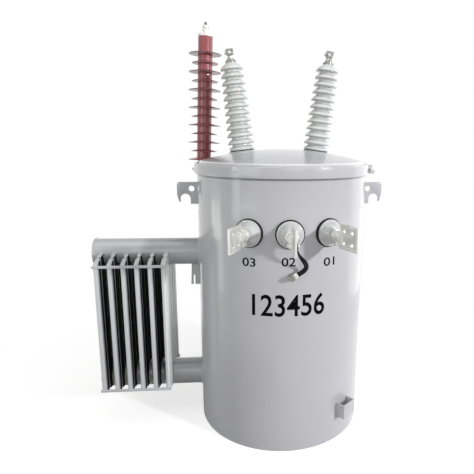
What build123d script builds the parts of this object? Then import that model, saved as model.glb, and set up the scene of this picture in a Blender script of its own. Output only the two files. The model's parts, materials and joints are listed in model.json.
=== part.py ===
from build123d import *
from math import atan2, cos, degrees, radians, sin
import os

os.makedirs("parts", exist_ok=True)

# Frame
# The origin is on the floor under the tank axis. The low voltage side faces
# minus Y, the radiator stands on minus X, and Z is up. Millimetres.
overrun = 2.0

# Tank
tank_radius = 355.0
tank_height = 1106.0
wall_thickness = 5.0
rim_flare = 6.0
rim_thickness = 18.0
rim_edge_radius = 3.0
base_thickness = 6.0
core_width = 420.0
core_depth = 300.0
core_height = 620.0
seam_depth = 20.0

# Cover
cover_edge_thickness = 15.0
cover_shoulder_inset = 14.0
cover_shoulder_rise = 20.0
cover_knee_inset = 9.0
cover_knee_rise = 25.0
cover_dome_rise = 51.0
cover_sheet = 4.0

# Clamping band
band_thickness = 5.0
band_lip = 4.0
band_edge = 2.0
band_half_gap = 4.0
band_seam_azimuth = 77.0
ear_thickness = 6.0
ear_reach = 26.0
ear_shoulder_reach = 10.0
ear_tip_rise = 12.0
ear_hole_reach = 13.0
ear_hole_rise = 20.0
ear_hole_radius = 5.5

# High voltage bushings
hv_azimuth = 123.69
hv_knee_inset = 139.695
hv_seat_drop = 9.0
hv_tilt = 7.0
hv_boss_radius = 59.0
hv_boss_depth = 42.0
hv_boss_chamfer = 3.0
hv_boss_bore = 36.0
hv_shed_count = 11
hv_shed_pitch = 31.0
hv_first_shed = 38.0
hv_top_rise = 24.0
hv_low_shed_radius = 59.0
hv_high_shed_radius = 48.5
hv_low_core_radius = 43.0
hv_high_core_radius = 33.5
hv_skirt_radius = 55.0
hv_skirt_rise = 6.0
hv_skirt_height = 20.0
hv_neck_radius = 20.0
hv_shed_droop = 5.0
hv_shed_edge = 9.0
hv_shed_under = 12.0
hv_shed_back = 15.0
hv_cap_radius = 17.0
hv_cap_height = 14.0
hv_cap_chamfer = 2.0
hv_stud_radius = 8.0
hv_eye_half_length = 16.5
hv_eye_half_height = 12.5
hv_eye_round = 5.0
hv_eye_bore = 6.5
hv_eye_width = 18.0
hv_eye_height = 42.0

# Arrester
arrester_azimuth = -128.45
arrester_clearance = 87.2
arrester_stand = 18.0
arrester_lean = 2.17
arrester_core_radius = 33.0
arrester_length = 552.0
arrester_shed_count = 13
arrester_shed_pitch = 39.6
arrester_first_shed = 7.5
arrester_large_radius = 74.0
arrester_small_radius = 60.5
arrester_shed_droop = 5.0
arrester_shed_edge = 2.5
arrester_shed_root = 5.0
arrester_cap_radius = 34.0
arrester_cap_height = 12.0
arrester_cap_chamfer = 2.5
arrester_nut_radius = 13.0
arrester_nut_height = 26.0
arrester_stud_radius = 7.0
arrester_stud_height = 51.0
arrester_plate_drop = 10.0
arrester_plate_thickness = 6.0
arrester_plate_width = 66.0
arrester_plate_margin = 37.0
arrester_gusset_drop = 60.0
arrester_base_radius = 27.0
arrester_base_height = 8.0
arrester_base_nut_radius = 24.0
arrester_base_nut_height = 16.0
arrester_rod_radius = 13.0

# Low voltage bushings
lv_azimuths = (-24.5, 0.0, 24.5)
lv_names = ("left", "centre", "right")
lv_drop = 220.0
lv_hole_radius = 30.0
lv_inner_depth = 17.0
lv_gasket_thickness = 6.0
lv_gasket_margin = 4.0
lv_flange_radius = 50.0
lv_flange_thickness = 5.0
lv_flange_edge_radius = 2.0
lv_shoulder_reach = 25.0
lv_shoulder_radius = 34.0
lv_shoulder_round = 8.0
lv_nose_length = 10.0
lv_nose_radius = 29.0
lv_nose_round = 3.0
lv_collar_radius = 25.0
lv_collar_length = 11.0
lv_stem_radius = 18.0
clamp_length = 19.0
clamp_half_width = 11.0
clamp_drop = 37.0
clamp_slit = 2.5
clamp_screw_drop = 28.0
clamp_screw_radius = 4.0
clamp_head_radius = 8.0
clamp_head_height = 6.0
pad_length = 99.0
pad_height = 90.0
pad_thickness = 7.0
pad_hole_pitch = 44.45
pad_hole_radius = 7.15
pad_corner_radius = 4.0

# Ground strap
strap_width = 16.0
strap_thickness = 3.5
strap_tab = 9.0
strap_hang = 12.0
strap_fall = 45.0
strap_swing = 14.0
strap_bulge = 62.0
strap_sag = 18.0
strap_sections = 14
ground_side = 7.0
ground_drop = 159.0
ground_radius = 13.0
ground_length = 14.0
ground_shank_radius = 5.0
ground_head_radius = 9.5
ground_head_height = 6.5
ground_hole_clearance = 0.3

# Lifting lugs
lug_thickness = 8.0
lug_reach = 87.0
lug_drop = 62.0
lug_foot_reach = 31.0
lug_foot_drop = 155.0
lug_notch_drop = 112.0
lug_notch_radius = 21.0
lug_claw_drop = 146.0
lug_claw_width = 6.0
lug_claw_taper = 30.0
lug_hole_reach = 26.0
lug_hole_drop = 90.0
lug_hole_radius = 12.0
lug_corner = 8.0

# Radiator
header_radius = 57.0
header_wall = 4.5
header_seat = 14.0
header_overhang = 32.0
header_cap_radius = 60.5
header_cap_thickness = 6.0
header_cap_chamfer = 1.5
upper_header_drop = 361.0
lower_header_height = 180.0
fin_count = 6
fin_clearance = 135.0
fin_pitch = 53.0
fin_half_depth = 156.0
fin_top_drop = 21.0
fin_bottom_drop = 8.0
fin_neck_half = 62.0
fin_neck_rise = 7.0
fin_neck_drop = 32.0
fin_web = 5.0
fin_thickness = 17.0
fin_channels = 5
fin_valley_width = 12.0
fin_channel_round = 5.5
bar_thickness = 6.0
bar_height = 11.0
bar_overhang = 4.0

# Side and rear brackets
slot_plate_setback = 62.0
slot_plate_thickness = 6.0
slot_plate_reach = 46.0
slot_plate_taper = 5.0
slot_plate_drop = 63.0
slot_plate_height = 107.0
slot_width = 7.0
slot_reach = 31.0
slot_height = 43.0
channel_azimuth = 41.8
channel_half_width = 37.0
channel_reach = 40.0
channel_bottom = 105.0
channel_height = 60.0
channel_thickness = 5.0
hanger_half_width = 62.0
hanger_reach = 47.0
hanger_thickness = 8.0
hanger_height = 92.0
hanger_bottom = 205.0
hanger_spacing = 590.6
hanger_names = ("lower", "upper")
hanger_slot_radius = 9.5
hanger_key_radius = 17.0
hanger_key_drop = 30.0

# Places that follow from the sizes above
rim_radius = tank_radius + rim_flare
cover_shoulder_radius = rim_radius - cover_shoulder_inset
cover_shoulder_top = tank_height + cover_shoulder_rise
cover_knee_radius = cover_shoulder_radius - cover_knee_inset
cover_knee_height = tank_height + cover_knee_rise
cover_apex = cover_knee_height + cover_dome_rise
band_outer_radius = rim_radius + band_thickness
band_bottom = tank_height - rim_thickness - band_lip
band_top = tank_height + cover_edge_thickness + band_lip
ear_tip_radius = band_outer_radius + ear_reach
hv_distance = cover_knee_radius - hv_knee_inset
hv_spacing_half = hv_distance * sin(radians(hv_azimuth))
hv_setback = -hv_distance * cos(radians(hv_azimuth))
hv_seat_height = cover_apex - hv_seat_drop
hv_porcelain_height = hv_first_shed + (hv_shed_count - 1) * hv_shed_pitch + hv_top_rise
arrester_distance = tank_radius + arrester_clearance
arrester_seat = tank_height + arrester_stand
arrester_plate_top = band_bottom - arrester_plate_drop
lv_height = tank_height - lv_drop
lv_gasket_radius = lv_flange_radius + lv_gasket_margin
lv_gasket_face = tank_radius + lv_gasket_thickness
lv_inner_face = tank_radius - lv_inner_depth
lv_shoulder_face = lv_gasket_face + lv_shoulder_reach
lv_nose_face = lv_shoulder_face + lv_nose_length
lv_collar_face = lv_nose_face + lv_collar_length
pad_inner = lv_collar_face + clamp_length
pad_outer = pad_inner + pad_length
clamp_reach = lv_collar_face + clamp_length / 2
ground_height = lv_height - ground_drop
ground_inner = tank_radius - wall_thickness
ground_face = ground_inner + ground_length
lug_inner = tank_radius - wall_thickness
lug_tip = tank_radius + lug_reach
lug_top = tank_height - lug_drop
lug_notch_foot = tank_radius + lug_foot_reach
lug_notch_spring = tank_height - lug_notch_drop - lug_notch_radius
upper_header_height = tank_height - upper_header_drop
header_heights = (upper_header_height, lower_header_height)
header_inner = tank_radius - header_seat
fin_first = tank_radius + fin_clearance
fin_last = fin_first + (fin_count - 1) * fin_pitch
header_outer = fin_last + header_overhang
fin_top = upper_header_height - fin_top_drop
fin_bottom = lower_header_height - fin_bottom_drop
fin_neck_top = upper_header_height + fin_neck_rise
fin_neck_bottom = lower_header_height - fin_neck_drop
channel_pitch = 2 * fin_half_depth / fin_channels
slot_plate_top = upper_header_height - slot_plate_drop
slot_plate_bottom = slot_plate_top - slot_plate_height
bracket_inner = tank_radius - seam_depth


def radial(azimuth):
    return Vector(sin(radians(azimuth)), -cos(radians(azimuth)), 0)


def tangent(azimuth):
    return Vector(cos(radians(azimuth)), sin(radians(azimuth)), 0)


def outward_plane(azimuth, height, distance):
    """Plane facing away from the tank axis, its Y up."""
    origin = radial(azimuth) * distance + Vector(0, 0, height)
    return Plane(origin=origin, x_dir=tangent(azimuth), z_dir=radial(azimuth))


def section_plane(azimuth, height):
    """Upright plane through the tank axis: X outward, Y up."""
    return Plane(
        origin=(0, 0, height), x_dir=radial(azimuth), z_dir=tangent(azimuth) * -1
    )


def save(part, label):
    part.label = label
    export_step(part, f"parts/{label}.step")


dome_radius = (cover_knee_radius**2 + cover_dome_rise**2) / (2 * cover_dome_rise)
knee_turn = degrees(atan2(cover_knee_radius, dome_radius - cover_dome_rise))


def dome_point(radius, turn):
    """Point of an arc about the centre of the cover's dome."""
    centre = cover_apex - dome_radius
    return (radius * sin(radians(turn)), centre + radius * cos(radians(turn)))


tank_solid = Cylinder(
    tank_radius, tank_height, align=(Align.CENTER, Align.CENTER, Align.MIN)
)

# Tank wall
# One rolled shell with a thick rolled rim, cut for the bushings and the two
# radiator headers.
with BuildPart() as tank_wall:
    with BuildSketch(Plane.XY):
        Circle(tank_radius)
        Circle(tank_radius - wall_thickness, mode=Mode.SUBTRACT)
    extrude(amount=tank_height)
    with BuildSketch(Plane.XY.offset(tank_height - rim_thickness)):
        Circle(rim_radius)
        Circle(tank_radius - wall_thickness, mode=Mode.SUBTRACT)
    extrude(amount=rim_thickness)
    for azimuth in lv_azimuths:
        with BuildSketch(outward_plane(azimuth, lv_height, lv_inner_face)):
            Circle(lv_hole_radius)
        extrude(amount=tank_radius - lv_inner_face + overrun, mode=Mode.SUBTRACT)
    for header_height in header_heights:
        header_plane = Plane(
            origin=(-header_inner + overrun, 0, header_height),
            x_dir=(0, 1, 0),
            z_dir=(-1, 0, 0),
        )
        with BuildSketch(header_plane):
            Circle(header_radius)
        extrude(amount=header_seat + 2 * overrun, mode=Mode.SUBTRACT)
save(tank_wall.part, "tank_wall")

# Tank base
with BuildPart() as tank_base:
    with BuildSketch(Plane.XY):
        Circle(tank_radius - wall_thickness)
    extrude(amount=base_thickness)
save(tank_base.part, "tank_base")

# Core and coils
with BuildPart() as core_and_coils:
    with BuildSketch(Plane.XY.offset(base_thickness)):
        Rectangle(core_width, core_depth)
    extrude(amount=core_height)
save(core_and_coils.part, "core_and_coils")

# Cover
# A pressed sheet with a rolled edge on the tank rim, short upright shoulder,
# knee and shallow dome, pierced by the two bosses.
with BuildPart() as cover:
    with BuildSketch(Plane.XZ):
        with BuildLine():
            Line(dome_point(dome_radius - cover_sheet, 0), dome_point(dome_radius, 0))
            ThreePointArc(
                dome_point(dome_radius, 0),
                dome_point(dome_radius, knee_turn / 2),
                dome_point(dome_radius, knee_turn),
            )
            Polyline(
                dome_point(dome_radius, knee_turn),
                (cover_shoulder_radius, cover_shoulder_top),
                (cover_shoulder_radius, tank_height + cover_edge_thickness),
                (rim_radius, tank_height + cover_edge_thickness),
                (rim_radius, tank_height),
                (cover_shoulder_radius - cover_sheet, tank_height),
                (cover_shoulder_radius - cover_sheet, cover_shoulder_top - cover_sheet / 2),
                dome_point(dome_radius - cover_sheet, knee_turn),
            )
            ThreePointArc(
                dome_point(dome_radius - cover_sheet, knee_turn),
                dome_point(dome_radius - cover_sheet, knee_turn / 2),
                dome_point(dome_radius - cover_sheet, 0),
            )
        make_face()
    revolve(axis=Axis.Z)
    for side in (-1, 1):
        seat = Plane(
            origin=(side * hv_spacing_half, hv_setback, hv_seat_height),
            x_dir=(cos(radians(hv_tilt)), 0, -side * sin(radians(hv_tilt))),
            z_dir=(side * sin(radians(hv_tilt)), 0, cos(radians(hv_tilt))),
        )
        with BuildSketch(seat.offset(-hv_boss_depth)):
            Circle(hv_boss_radius)
        extrude(amount=hv_boss_depth + overrun, mode=Mode.SUBTRACT)
save(cover.part, "cover")

# Clamping band
# Two half rings of channel section that grip the cover's edge and the tank
# rim, each with an ear at both ends.
seam = radial(band_seam_azimuth)
seam_across = tangent(band_seam_azimuth)
for name, side in (("front", -1), ("rear", 1)):
    with BuildPart() as band:
        with BuildSketch(Plane.XZ):
            with BuildLine():
                Polyline(
                    (tank_radius, band_bottom),
                    (band_outer_radius - band_edge, band_bottom),
                    (band_outer_radius, band_bottom + band_edge),
                    (band_outer_radius, band_top - band_edge),
                    (band_outer_radius - band_edge, band_top),
                    (cover_shoulder_radius, band_top),
                    (cover_shoulder_radius, band_top - band_lip),
                    (rim_radius, band_top - band_lip),
                    (rim_radius, band_bottom + band_lip),
                    (tank_radius, band_bottom + band_lip),
                    close=True,
                )
            make_face()
        revolve(axis=Axis.Z)
        with BuildSketch(Plane(origin=(0, 0, band_bottom), x_dir=seam, z_dir=(0, 0, 1))):
            with Locations((0, side * (band_half_gap - band_outer_radius))):
                Rectangle(2 * (band_outer_radius + overrun), 2 * band_outer_radius)
        extrude(amount=band_top - band_bottom, mode=Mode.SUBTRACT)
        for end in (-1, 1):
            ear_plane = Plane(
                origin=seam_across * side * band_half_gap,
                x_dir=seam * end,
                z_dir=seam_across * -end,
            )
            with BuildSketch(ear_plane):
                with BuildLine():
                    Polyline(
                        (band_outer_radius - band_lip, band_bottom + band_edge),
                        (ear_tip_radius - band_lip, band_bottom + 2 * band_edge),
                        (ear_tip_radius, band_bottom + ear_tip_rise),
                        (band_outer_radius + ear_shoulder_reach, band_top - band_edge),
                        (band_outer_radius - band_lip, band_top - band_edge),
                        close=True,
                    )
                make_face()
                with Locations((band_outer_radius + ear_hole_reach, band_bottom + ear_hole_rise)):
                    Circle(ear_hole_radius, mode=Mode.SUBTRACT)
            extrude(amount=-side * end * ear_thickness)
    save(band.part, f"cover_band_{name}")

# High voltage bosses, bushings and terminals
# The porcelain is one revolved body: a skirt, then rounded sheds that drop
# to a nearly flat underside and narrow towards the top.
for name, side in (("left", -1), ("right", 1)):
    lean = Vector(side * sin(radians(hv_tilt)), 0, cos(radians(hv_tilt)))
    across = Vector(cos(radians(hv_tilt)), 0, -side * sin(radians(hv_tilt)))
    foot = Vector(side * hv_spacing_half, hv_setback, hv_seat_height)
    seat = Plane(origin=foot, x_dir=across, z_dir=lean)
    upright = Plane(origin=foot, x_dir=across, z_dir=(0, -1, 0))
    eye_centre = foot + lean * (hv_porcelain_height + hv_eye_height)
    eye_plane = Plane(origin=eye_centre, x_dir=across, z_dir=(0, -1, 0))
    bushing_axis = Axis(foot, lean)

    with BuildPart() as boss:
        with BuildSketch(seat.offset(-hv_boss_depth)):
            Circle(hv_boss_radius)
            Circle(hv_boss_bore, mode=Mode.SUBTRACT)
        extrude(amount=hv_boss_depth)
        top_edges = boss.edges().group_by(bushing_axis)[-1]
        chamfer(top_edges.sort_by(SortBy.LENGTH)[-1], hv_boss_chamfer)
    save(boss.part, f"hv_boss_{name}")

    with BuildPart() as bushing:
        with BuildSketch(upright):
            with BuildLine():
                Polyline(
                    (0, 0),
                    (hv_skirt_radius, 0),
                    (hv_skirt_radius, hv_skirt_rise),
                    (hv_low_core_radius, hv_skirt_height),
                )
                start = (hv_low_core_radius, hv_skirt_height)
                half_edge = hv_shed_edge / 2
                for step in range(hv_shed_count):
                    share = step / (hv_shed_count - 1)
                    height = hv_first_shed + step * hv_shed_pitch
                    core = hv_low_core_radius + share * (hv_high_core_radius - hv_low_core_radius)
                    tip = hv_low_shed_radius + share * (hv_high_shed_radius - hv_low_shed_radius)
                    rim_low = (tip - half_edge, height - hv_shed_droop - half_edge)
                    rim_high = (tip - half_edge, height - hv_shed_droop + half_edge)
                    Polyline(start, (core, height - hv_shed_under), rim_low)
                    ThreePointArc(rim_low, (tip, height - hv_shed_droop), rim_high)
                    start = (core, height + hv_shed_back)
                    if step < hv_shed_count - 1:
                        Line(rim_high, start)
                Polyline(
                    rim_high,
                    (hv_neck_radius + half_edge, hv_porcelain_height - half_edge),
                    (hv_neck_radius, hv_porcelain_height),
                    (0, hv_porcelain_height),
                    (0, 0),
                )
            make_face()
        revolve(axis=bushing_axis)
    save(bushing.part, f"hv_bushing_{name}")

    with BuildPart() as terminal:
        with BuildSketch(seat.offset(hv_porcelain_height)):
            Circle(hv_cap_radius)
        extrude(amount=hv_cap_height)
        chamfer(terminal.edges().group_by(bushing_axis)[-1], hv_cap_chamfer)
        with BuildSketch(seat.offset(hv_porcelain_height + hv_cap_height)):
            Circle(hv_stud_radius)
        extrude(amount=hv_eye_height - hv_eye_bore - hv_cap_height)
        with BuildSketch(eye_plane.offset(-hv_eye_width / 2)):
            RectangleRounded(2 * hv_eye_half_length, 2 * hv_eye_half_height, hv_eye_round)
        extrude(amount=hv_eye_width)
        with BuildSketch(upright.offset(-hv_eye_width)):
            with Locations((0, hv_porcelain_height + hv_eye_height)):
                Circle(hv_eye_bore)
        extrude(amount=2 * hv_eye_width, mode=Mode.SUBTRACT)
    save(terminal.part, f"hv_terminal_{name}")

# Arrester
# It stands on its own plate, welded to the wall below the band.
arrester_up = Vector(sin(radians(arrester_lean)), 0, cos(radians(arrester_lean)))
arrester_across = Vector(cos(radians(arrester_lean)), 0, -sin(radians(arrester_lean)))
arrester_axis_point = radial(arrester_azimuth) * arrester_distance
arrester_foot = arrester_axis_point + Vector(0, 0, arrester_seat)
arrester_plane = Plane(origin=arrester_foot, x_dir=arrester_across, z_dir=arrester_up)
arrester_section = Plane(origin=arrester_foot, x_dir=arrester_across, z_dir=(0, -1, 0))

with BuildPart() as arrester_bracket:
    plate_plane = Plane(
        origin=(0, 0, arrester_plate_top - arrester_plate_thickness),
        x_dir=radial(arrester_azimuth),
        z_dir=(0, 0, 1),
    )
    plate_reach = arrester_distance + arrester_plate_margin
    with BuildSketch(plate_plane):
        with Locations(((bracket_inner + plate_reach) / 2, 0)):
            Rectangle(plate_reach - bracket_inner, arrester_plate_width)
    extrude(amount=arrester_plate_thickness)
    with BuildSketch(section_plane(arrester_azimuth, arrester_plate_top)):
        with BuildLine():
            Polyline(
                (bracket_inner, -arrester_plate_thickness),
                (plate_reach, -arrester_plate_thickness),
                (tank_radius, -arrester_gusset_drop),
                (bracket_inner, -arrester_gusset_drop),
                close=True,
            )
        make_face()
    extrude(amount=arrester_plate_thickness / 2, both=True)
    add(tank_solid, mode=Mode.SUBTRACT)
save(arrester_bracket.part, "arrester_bracket")

with BuildPart() as arrester_base:
    with BuildSketch(Plane.XY.offset(arrester_plate_top)):
        with Locations((arrester_axis_point.X, arrester_axis_point.Y)):
            RegularPolygon(arrester_rod_radius, 6)
    extrude(amount=arrester_seat - arrester_plate_top)
    base_drop = arrester_base_height + arrester_base_nut_height
    with BuildSketch(arrester_plane.offset(-base_drop)):
        RegularPolygon(arrester_base_nut_radius, 6)
    extrude(amount=arrester_base_nut_height)
    with BuildSketch(arrester_plane.offset(-arrester_base_height)):
        Circle(arrester_base_radius)
    extrude(amount=arrester_base_height)
    split(bisect_by=arrester_plane, keep=Keep.BOTTOM)
save(arrester_base.part, "arrester_base")

with BuildPart() as arrester_housing:
    outline = [(0, 0), (arrester_core_radius, 0)]
    for step in range(arrester_shed_count):
        height = arrester_first_shed + step * arrester_shed_pitch
        tip = arrester_large_radius if step % 2 == 0 else arrester_small_radius
        outline.append((arrester_core_radius, height - arrester_shed_root))
        outline.append((tip, height - arrester_shed_droop))
        outline.append((tip, height - arrester_shed_droop + arrester_shed_edge))
        outline.append((arrester_core_radius, height + arrester_shed_root))
    outline.append((arrester_core_radius, arrester_length))
    outline.append((0, arrester_length))
    with BuildSketch(arrester_section):
        with BuildLine():
            Polyline(*outline, close=True)
        make_face()
    revolve(axis=Axis(arrester_foot, arrester_up))
save(arrester_housing.part, "arrester_housing")

with BuildPart() as arrester_terminal:
    with BuildSketch(arrester_plane.offset(arrester_length)):
        Circle(arrester_cap_radius)
    extrude(amount=arrester_cap_height)
    cap_edges = arrester_terminal.edges().group_by(Axis(arrester_foot, arrester_up))[-1]
    chamfer(cap_edges, arrester_cap_chamfer)
    with BuildSketch(arrester_plane.offset(arrester_length + arrester_cap_height)):
        RegularPolygon(arrester_nut_radius, 6)
    extrude(amount=arrester_nut_height)
    with BuildSketch(arrester_plane.offset(arrester_length + arrester_cap_height)):
        Circle(arrester_stud_radius)
    extrude(amount=arrester_stud_height)
save(arrester_terminal.part, "arrester_terminal")

# Low voltage bushings and spade pads
# Each gasket follows the curve of the wall; each pad is an upright plate in
# line with the tank axis, with four square set holes and a clamp on the stem.
for name, azimuth in zip(lv_names, lv_azimuths):
    stem_axis = Axis(Vector(0, 0, lv_height), radial(azimuth))
    with BuildPart() as lv_gasket:
        with BuildSketch(outward_plane(azimuth, lv_height, lv_inner_face)):
            Circle(lv_gasket_radius)
            Circle(lv_hole_radius, mode=Mode.SUBTRACT)
        extrude(amount=lv_gasket_face - lv_inner_face)
        add(tank_solid, mode=Mode.SUBTRACT)
    save(lv_gasket.part, f"lv_gasket_{name}")

    with BuildPart() as lv_bushing:
        with BuildSketch(section_plane(azimuth, lv_height)) as lv_profile:
            with BuildLine():
                Polyline(
                    (lv_inner_face, 0),
                    (lv_inner_face, lv_hole_radius),
                    (lv_gasket_face, lv_hole_radius),
                    (lv_gasket_face, lv_flange_radius),
                    (lv_gasket_face + lv_flange_thickness, lv_flange_radius),
                    (lv_shoulder_face, lv_shoulder_radius),
                    (lv_nose_face, lv_nose_radius),
                    (lv_nose_face, 0),
                    close=True,
                )
            make_face()
            fillet(lv_profile.vertices().group_by(Axis.X)[-2], lv_shoulder_round)
            fillet(lv_profile.vertices().group_by(Axis.X)[-1].sort_by(Axis.Y)[-1], lv_nose_round)
        revolve(axis=stem_axis)
    save(lv_bushing.part, f"lv_bushing_{name}")

    with BuildPart() as lv_pad:
        with BuildSketch(outward_plane(azimuth, lv_height, lv_nose_face)):
            RegularPolygon(lv_collar_radius, 6)
        extrude(amount=lv_collar_length)
        with BuildSketch(outward_plane(azimuth, lv_height, lv_collar_face)):
            with Locations((0, -clamp_drop / 2)):
                Rectangle(2 * clamp_half_width, clamp_drop)
            Circle(lv_stem_radius)
            with Locations((0, -clamp_drop)):
                Rectangle(clamp_slit, 2 * (clamp_drop - lv_stem_radius), mode=Mode.SUBTRACT)
        extrude(amount=clamp_length)
        with BuildSketch(outward_plane(azimuth, lv_height, lv_nose_face)):
            Circle(lv_stem_radius)
        extrude(amount=pad_inner + pad_thickness - lv_nose_face)
        screw_plane = section_plane(azimuth, lv_height)
        with BuildSketch(screw_plane):
            with Locations((clamp_reach, -clamp_screw_drop)):
                Circle(clamp_screw_radius)
        extrude(amount=clamp_half_width, both=True)
        for face in (-1, 1):
            with BuildSketch(screw_plane.offset(face * clamp_half_width)):
                with Locations((clamp_reach, -clamp_screw_drop)):
                    RegularPolygon(clamp_head_radius, 6)
            extrude(amount=face * clamp_head_height)
        with BuildSketch(section_plane(azimuth, lv_height)) as pad_sketch:
            with Locations(((pad_inner + pad_outer) / 2, 0)):
                Rectangle(pad_length, pad_height)
                with GridLocations(pad_hole_pitch, pad_hole_pitch, 2, 2):
                    Circle(pad_hole_radius, mode=Mode.SUBTRACT)
            fillet(pad_sketch.vertices().sort_by(Axis.X)[-2:], pad_corner_radius)
        extrude(amount=pad_thickness / 2, both=True)
    save(lv_pad.part, f"lv_pad_{name}")

# Ground boss
# A welded boss with the screw that holds the strap.
with BuildPart() as ground_boss:
    boss_plane = Plane(
        origin=(ground_side, -ground_inner, ground_height), x_dir=(1, 0, 0), z_dir=(0, -1, 0)
    )
    with BuildSketch(boss_plane):
        Circle(ground_radius)
    extrude(amount=ground_length)
    add(tank_solid, mode=Mode.SUBTRACT)
    with BuildSketch(boss_plane.offset(ground_length - wall_thickness)):
        Circle(ground_shank_radius)
    extrude(amount=wall_thickness + strap_thickness)
    with BuildSketch(boss_plane.offset(ground_length + strap_thickness)):
        RegularPolygon(ground_head_radius, 6)
    extrude(amount=ground_head_height)
save(ground_boss.part, "ground_boss")

# Ground strap
# A flat strap lofted from the middle clamp's screw head, where it lies
# against the side, to the boss on the wall, where it lies flat to the front.
strap_side = clamp_half_width + clamp_head_height + strap_thickness / 2
strap_front = -(ground_face + strap_thickness / 2)
screw_height = lv_height - clamp_screw_drop
strap_start = Vector(strap_side, -clamp_reach, screw_height - strap_hang)
strap_end = Vector(ground_side + ground_radius, strap_front, ground_height)
strap_first_handle = strap_start + Vector(strap_swing, 0, -strap_fall)
strap_last_handle = strap_end + Vector(strap_bulge, 0, strap_sag)


def strap_point(share):
    """Point on the strap's middle line, 0 at the screw and 1 at the boss."""
    rest = 1 - share
    return (
        strap_start * rest**3
        + strap_first_handle * (3 * share * rest**2)
        + strap_last_handle * (3 * share**2 * rest)
        + strap_end * share**3
    )


def strap_course(share):
    """Direction of the strap's middle line."""
    rest = 1 - share
    return (
        (strap_first_handle - strap_start) * rest**2
        + (strap_last_handle - strap_first_handle) * (2 * share * rest)
        + (strap_end - strap_last_handle) * share**2
    ).normalized()


def strap_plane(point, course, share):
    """Section plane with its X along the width, turning from Y to Z."""
    width = Vector(0, 1 - share, share)
    width = width - course * width.dot(course)
    return Plane(origin=point, x_dir=width.normalized(), z_dir=course)


with BuildPart() as ground_strap:
    down = Vector(0, 0, -1)
    tab_top = strap_start - down * (strap_hang + strap_tab)
    planes = [strap_plane(tab_top, down, 0)]
    for step in range(strap_sections + 1):
        share = step / strap_sections
        planes.append(strap_plane(strap_point(share), strap_course(share), share))
    tab_end = Vector(ground_side - strap_tab, strap_front, ground_height)
    planes.append(strap_plane(tab_end, Vector(-1, 0, 0), 1))
    for plane in planes:
        with BuildSketch(plane):
            Rectangle(strap_width, strap_thickness)
    loft(ruled=True)
    with BuildSketch(boss_plane.offset(ground_length - overrun)):
        Circle(ground_shank_radius + ground_hole_clearance)
    extrude(amount=strap_thickness + 2 * overrun, mode=Mode.SUBTRACT)
save(ground_strap.part, "ground_strap")

# Lifting lugs
# Flat plates welded to both sides, with a claw, a notch open below and a
# round hole above the foot.
for name, side in (("left", -1), ("right", 1)):
    lug_plane = Plane(origin=(0, 0, 0), x_dir=(side, 0, 0), z_dir=(0, -side, 0))
    notch_centre = lug_notch_foot + lug_notch_radius
    notch_outer = notch_centre + lug_notch_radius
    claw_bottom = tank_height - lug_claw_drop
    with BuildPart() as lug:
        with BuildSketch(lug_plane):
            with BuildLine():
                Polyline(
                    (lug_inner, tank_height - lug_foot_drop),
                    (lug_notch_foot, tank_height - lug_foot_drop),
                    (lug_notch_foot, lug_notch_spring),
                )
                ThreePointArc(
                    (lug_notch_foot, lug_notch_spring),
                    (notch_centre, lug_notch_spring + lug_notch_radius),
                    (notch_outer, lug_notch_spring),
                )
                Polyline(
                    (notch_outer, lug_notch_spring),
                    (notch_outer, claw_bottom),
                    (notch_outer + lug_claw_width, claw_bottom),
                    (lug_tip, claw_bottom + lug_claw_taper),
                    (lug_tip, lug_top - lug_corner),
                    (lug_tip - lug_corner, lug_top),
                    (lug_inner, lug_top),
                    (lug_inner, tank_height - lug_foot_drop),
                )
            make_face()
            with Locations((tank_radius + lug_hole_reach, tank_height - lug_hole_drop)):
                Circle(lug_hole_radius, mode=Mode.SUBTRACT)
        extrude(amount=lug_thickness / 2, both=True)
        add(tank_solid, mode=Mode.SUBTRACT)
    save(lug.part, f"lifting_lug_{name}")

# Radiator headers
for name, header_height in zip(("upper", "lower"), header_heights):
    pipe_plane = Plane(
        origin=(-header_inner, 0, header_height), x_dir=(0, 1, 0), z_dir=(-1, 0, 0)
    )
    pipe_length = header_outer - header_inner
    with BuildPart() as header:
        with BuildSketch(pipe_plane.offset(pipe_length)):
            Circle(header_cap_radius)
        extrude(amount=header_cap_thickness)
        chamfer(header.edges(), header_cap_chamfer)
        with BuildSketch(pipe_plane):
            Circle(header_radius)
            Circle(header_radius - header_wall, mode=Mode.SUBTRACT)
        extrude(amount=pipe_length)
    save(header.part, f"header_{name}")

# Radiator fins
# Pressed panels: upright channels with rounded corners on a thinner web, cut
# to the panel's outline and to sit round both headers.
for index in range(fin_count):
    fin_x = -(fin_last - index * fin_pitch)
    fin_plane = Plane(origin=(fin_x, 0, 0), x_dir=(0, 1, 0), z_dir=(1, 0, 0))
    with BuildPart() as fin:
        with BuildSketch(Plane.XY.offset(fin_neck_bottom)):
            with Locations((fin_x, 0)):
                Rectangle(fin_web, 2 * fin_half_depth - channel_pitch)
                with GridLocations(channel_pitch, channel_pitch, 1, fin_channels):
                    RectangleRounded(
                        fin_thickness, channel_pitch - fin_valley_width, fin_channel_round
                    )
        extrude(amount=fin_neck_top - fin_neck_bottom)
        with BuildSketch(fin_plane):
            with BuildLine():
                Polyline(
                    (-fin_half_depth, fin_bottom),
                    (-fin_neck_half, fin_neck_bottom),
                    (fin_neck_half, fin_neck_bottom),
                    (fin_half_depth, fin_bottom),
                    (fin_half_depth, fin_top),
                    (fin_neck_half, fin_neck_top),
                    (-fin_neck_half, fin_neck_top),
                    (-fin_half_depth, fin_top),
                    close=True,
                )
            make_face()
        extrude(amount=fin_thickness, both=True, mode=Mode.INTERSECT)
        for header_height in header_heights:
            with BuildSketch(fin_plane):
                with Locations((0, header_height)):
                    Circle(header_radius)
            extrude(amount=fin_thickness, both=True, mode=Mode.SUBTRACT)
    save(fin.part, f"fin_{index + 1}")

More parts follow.
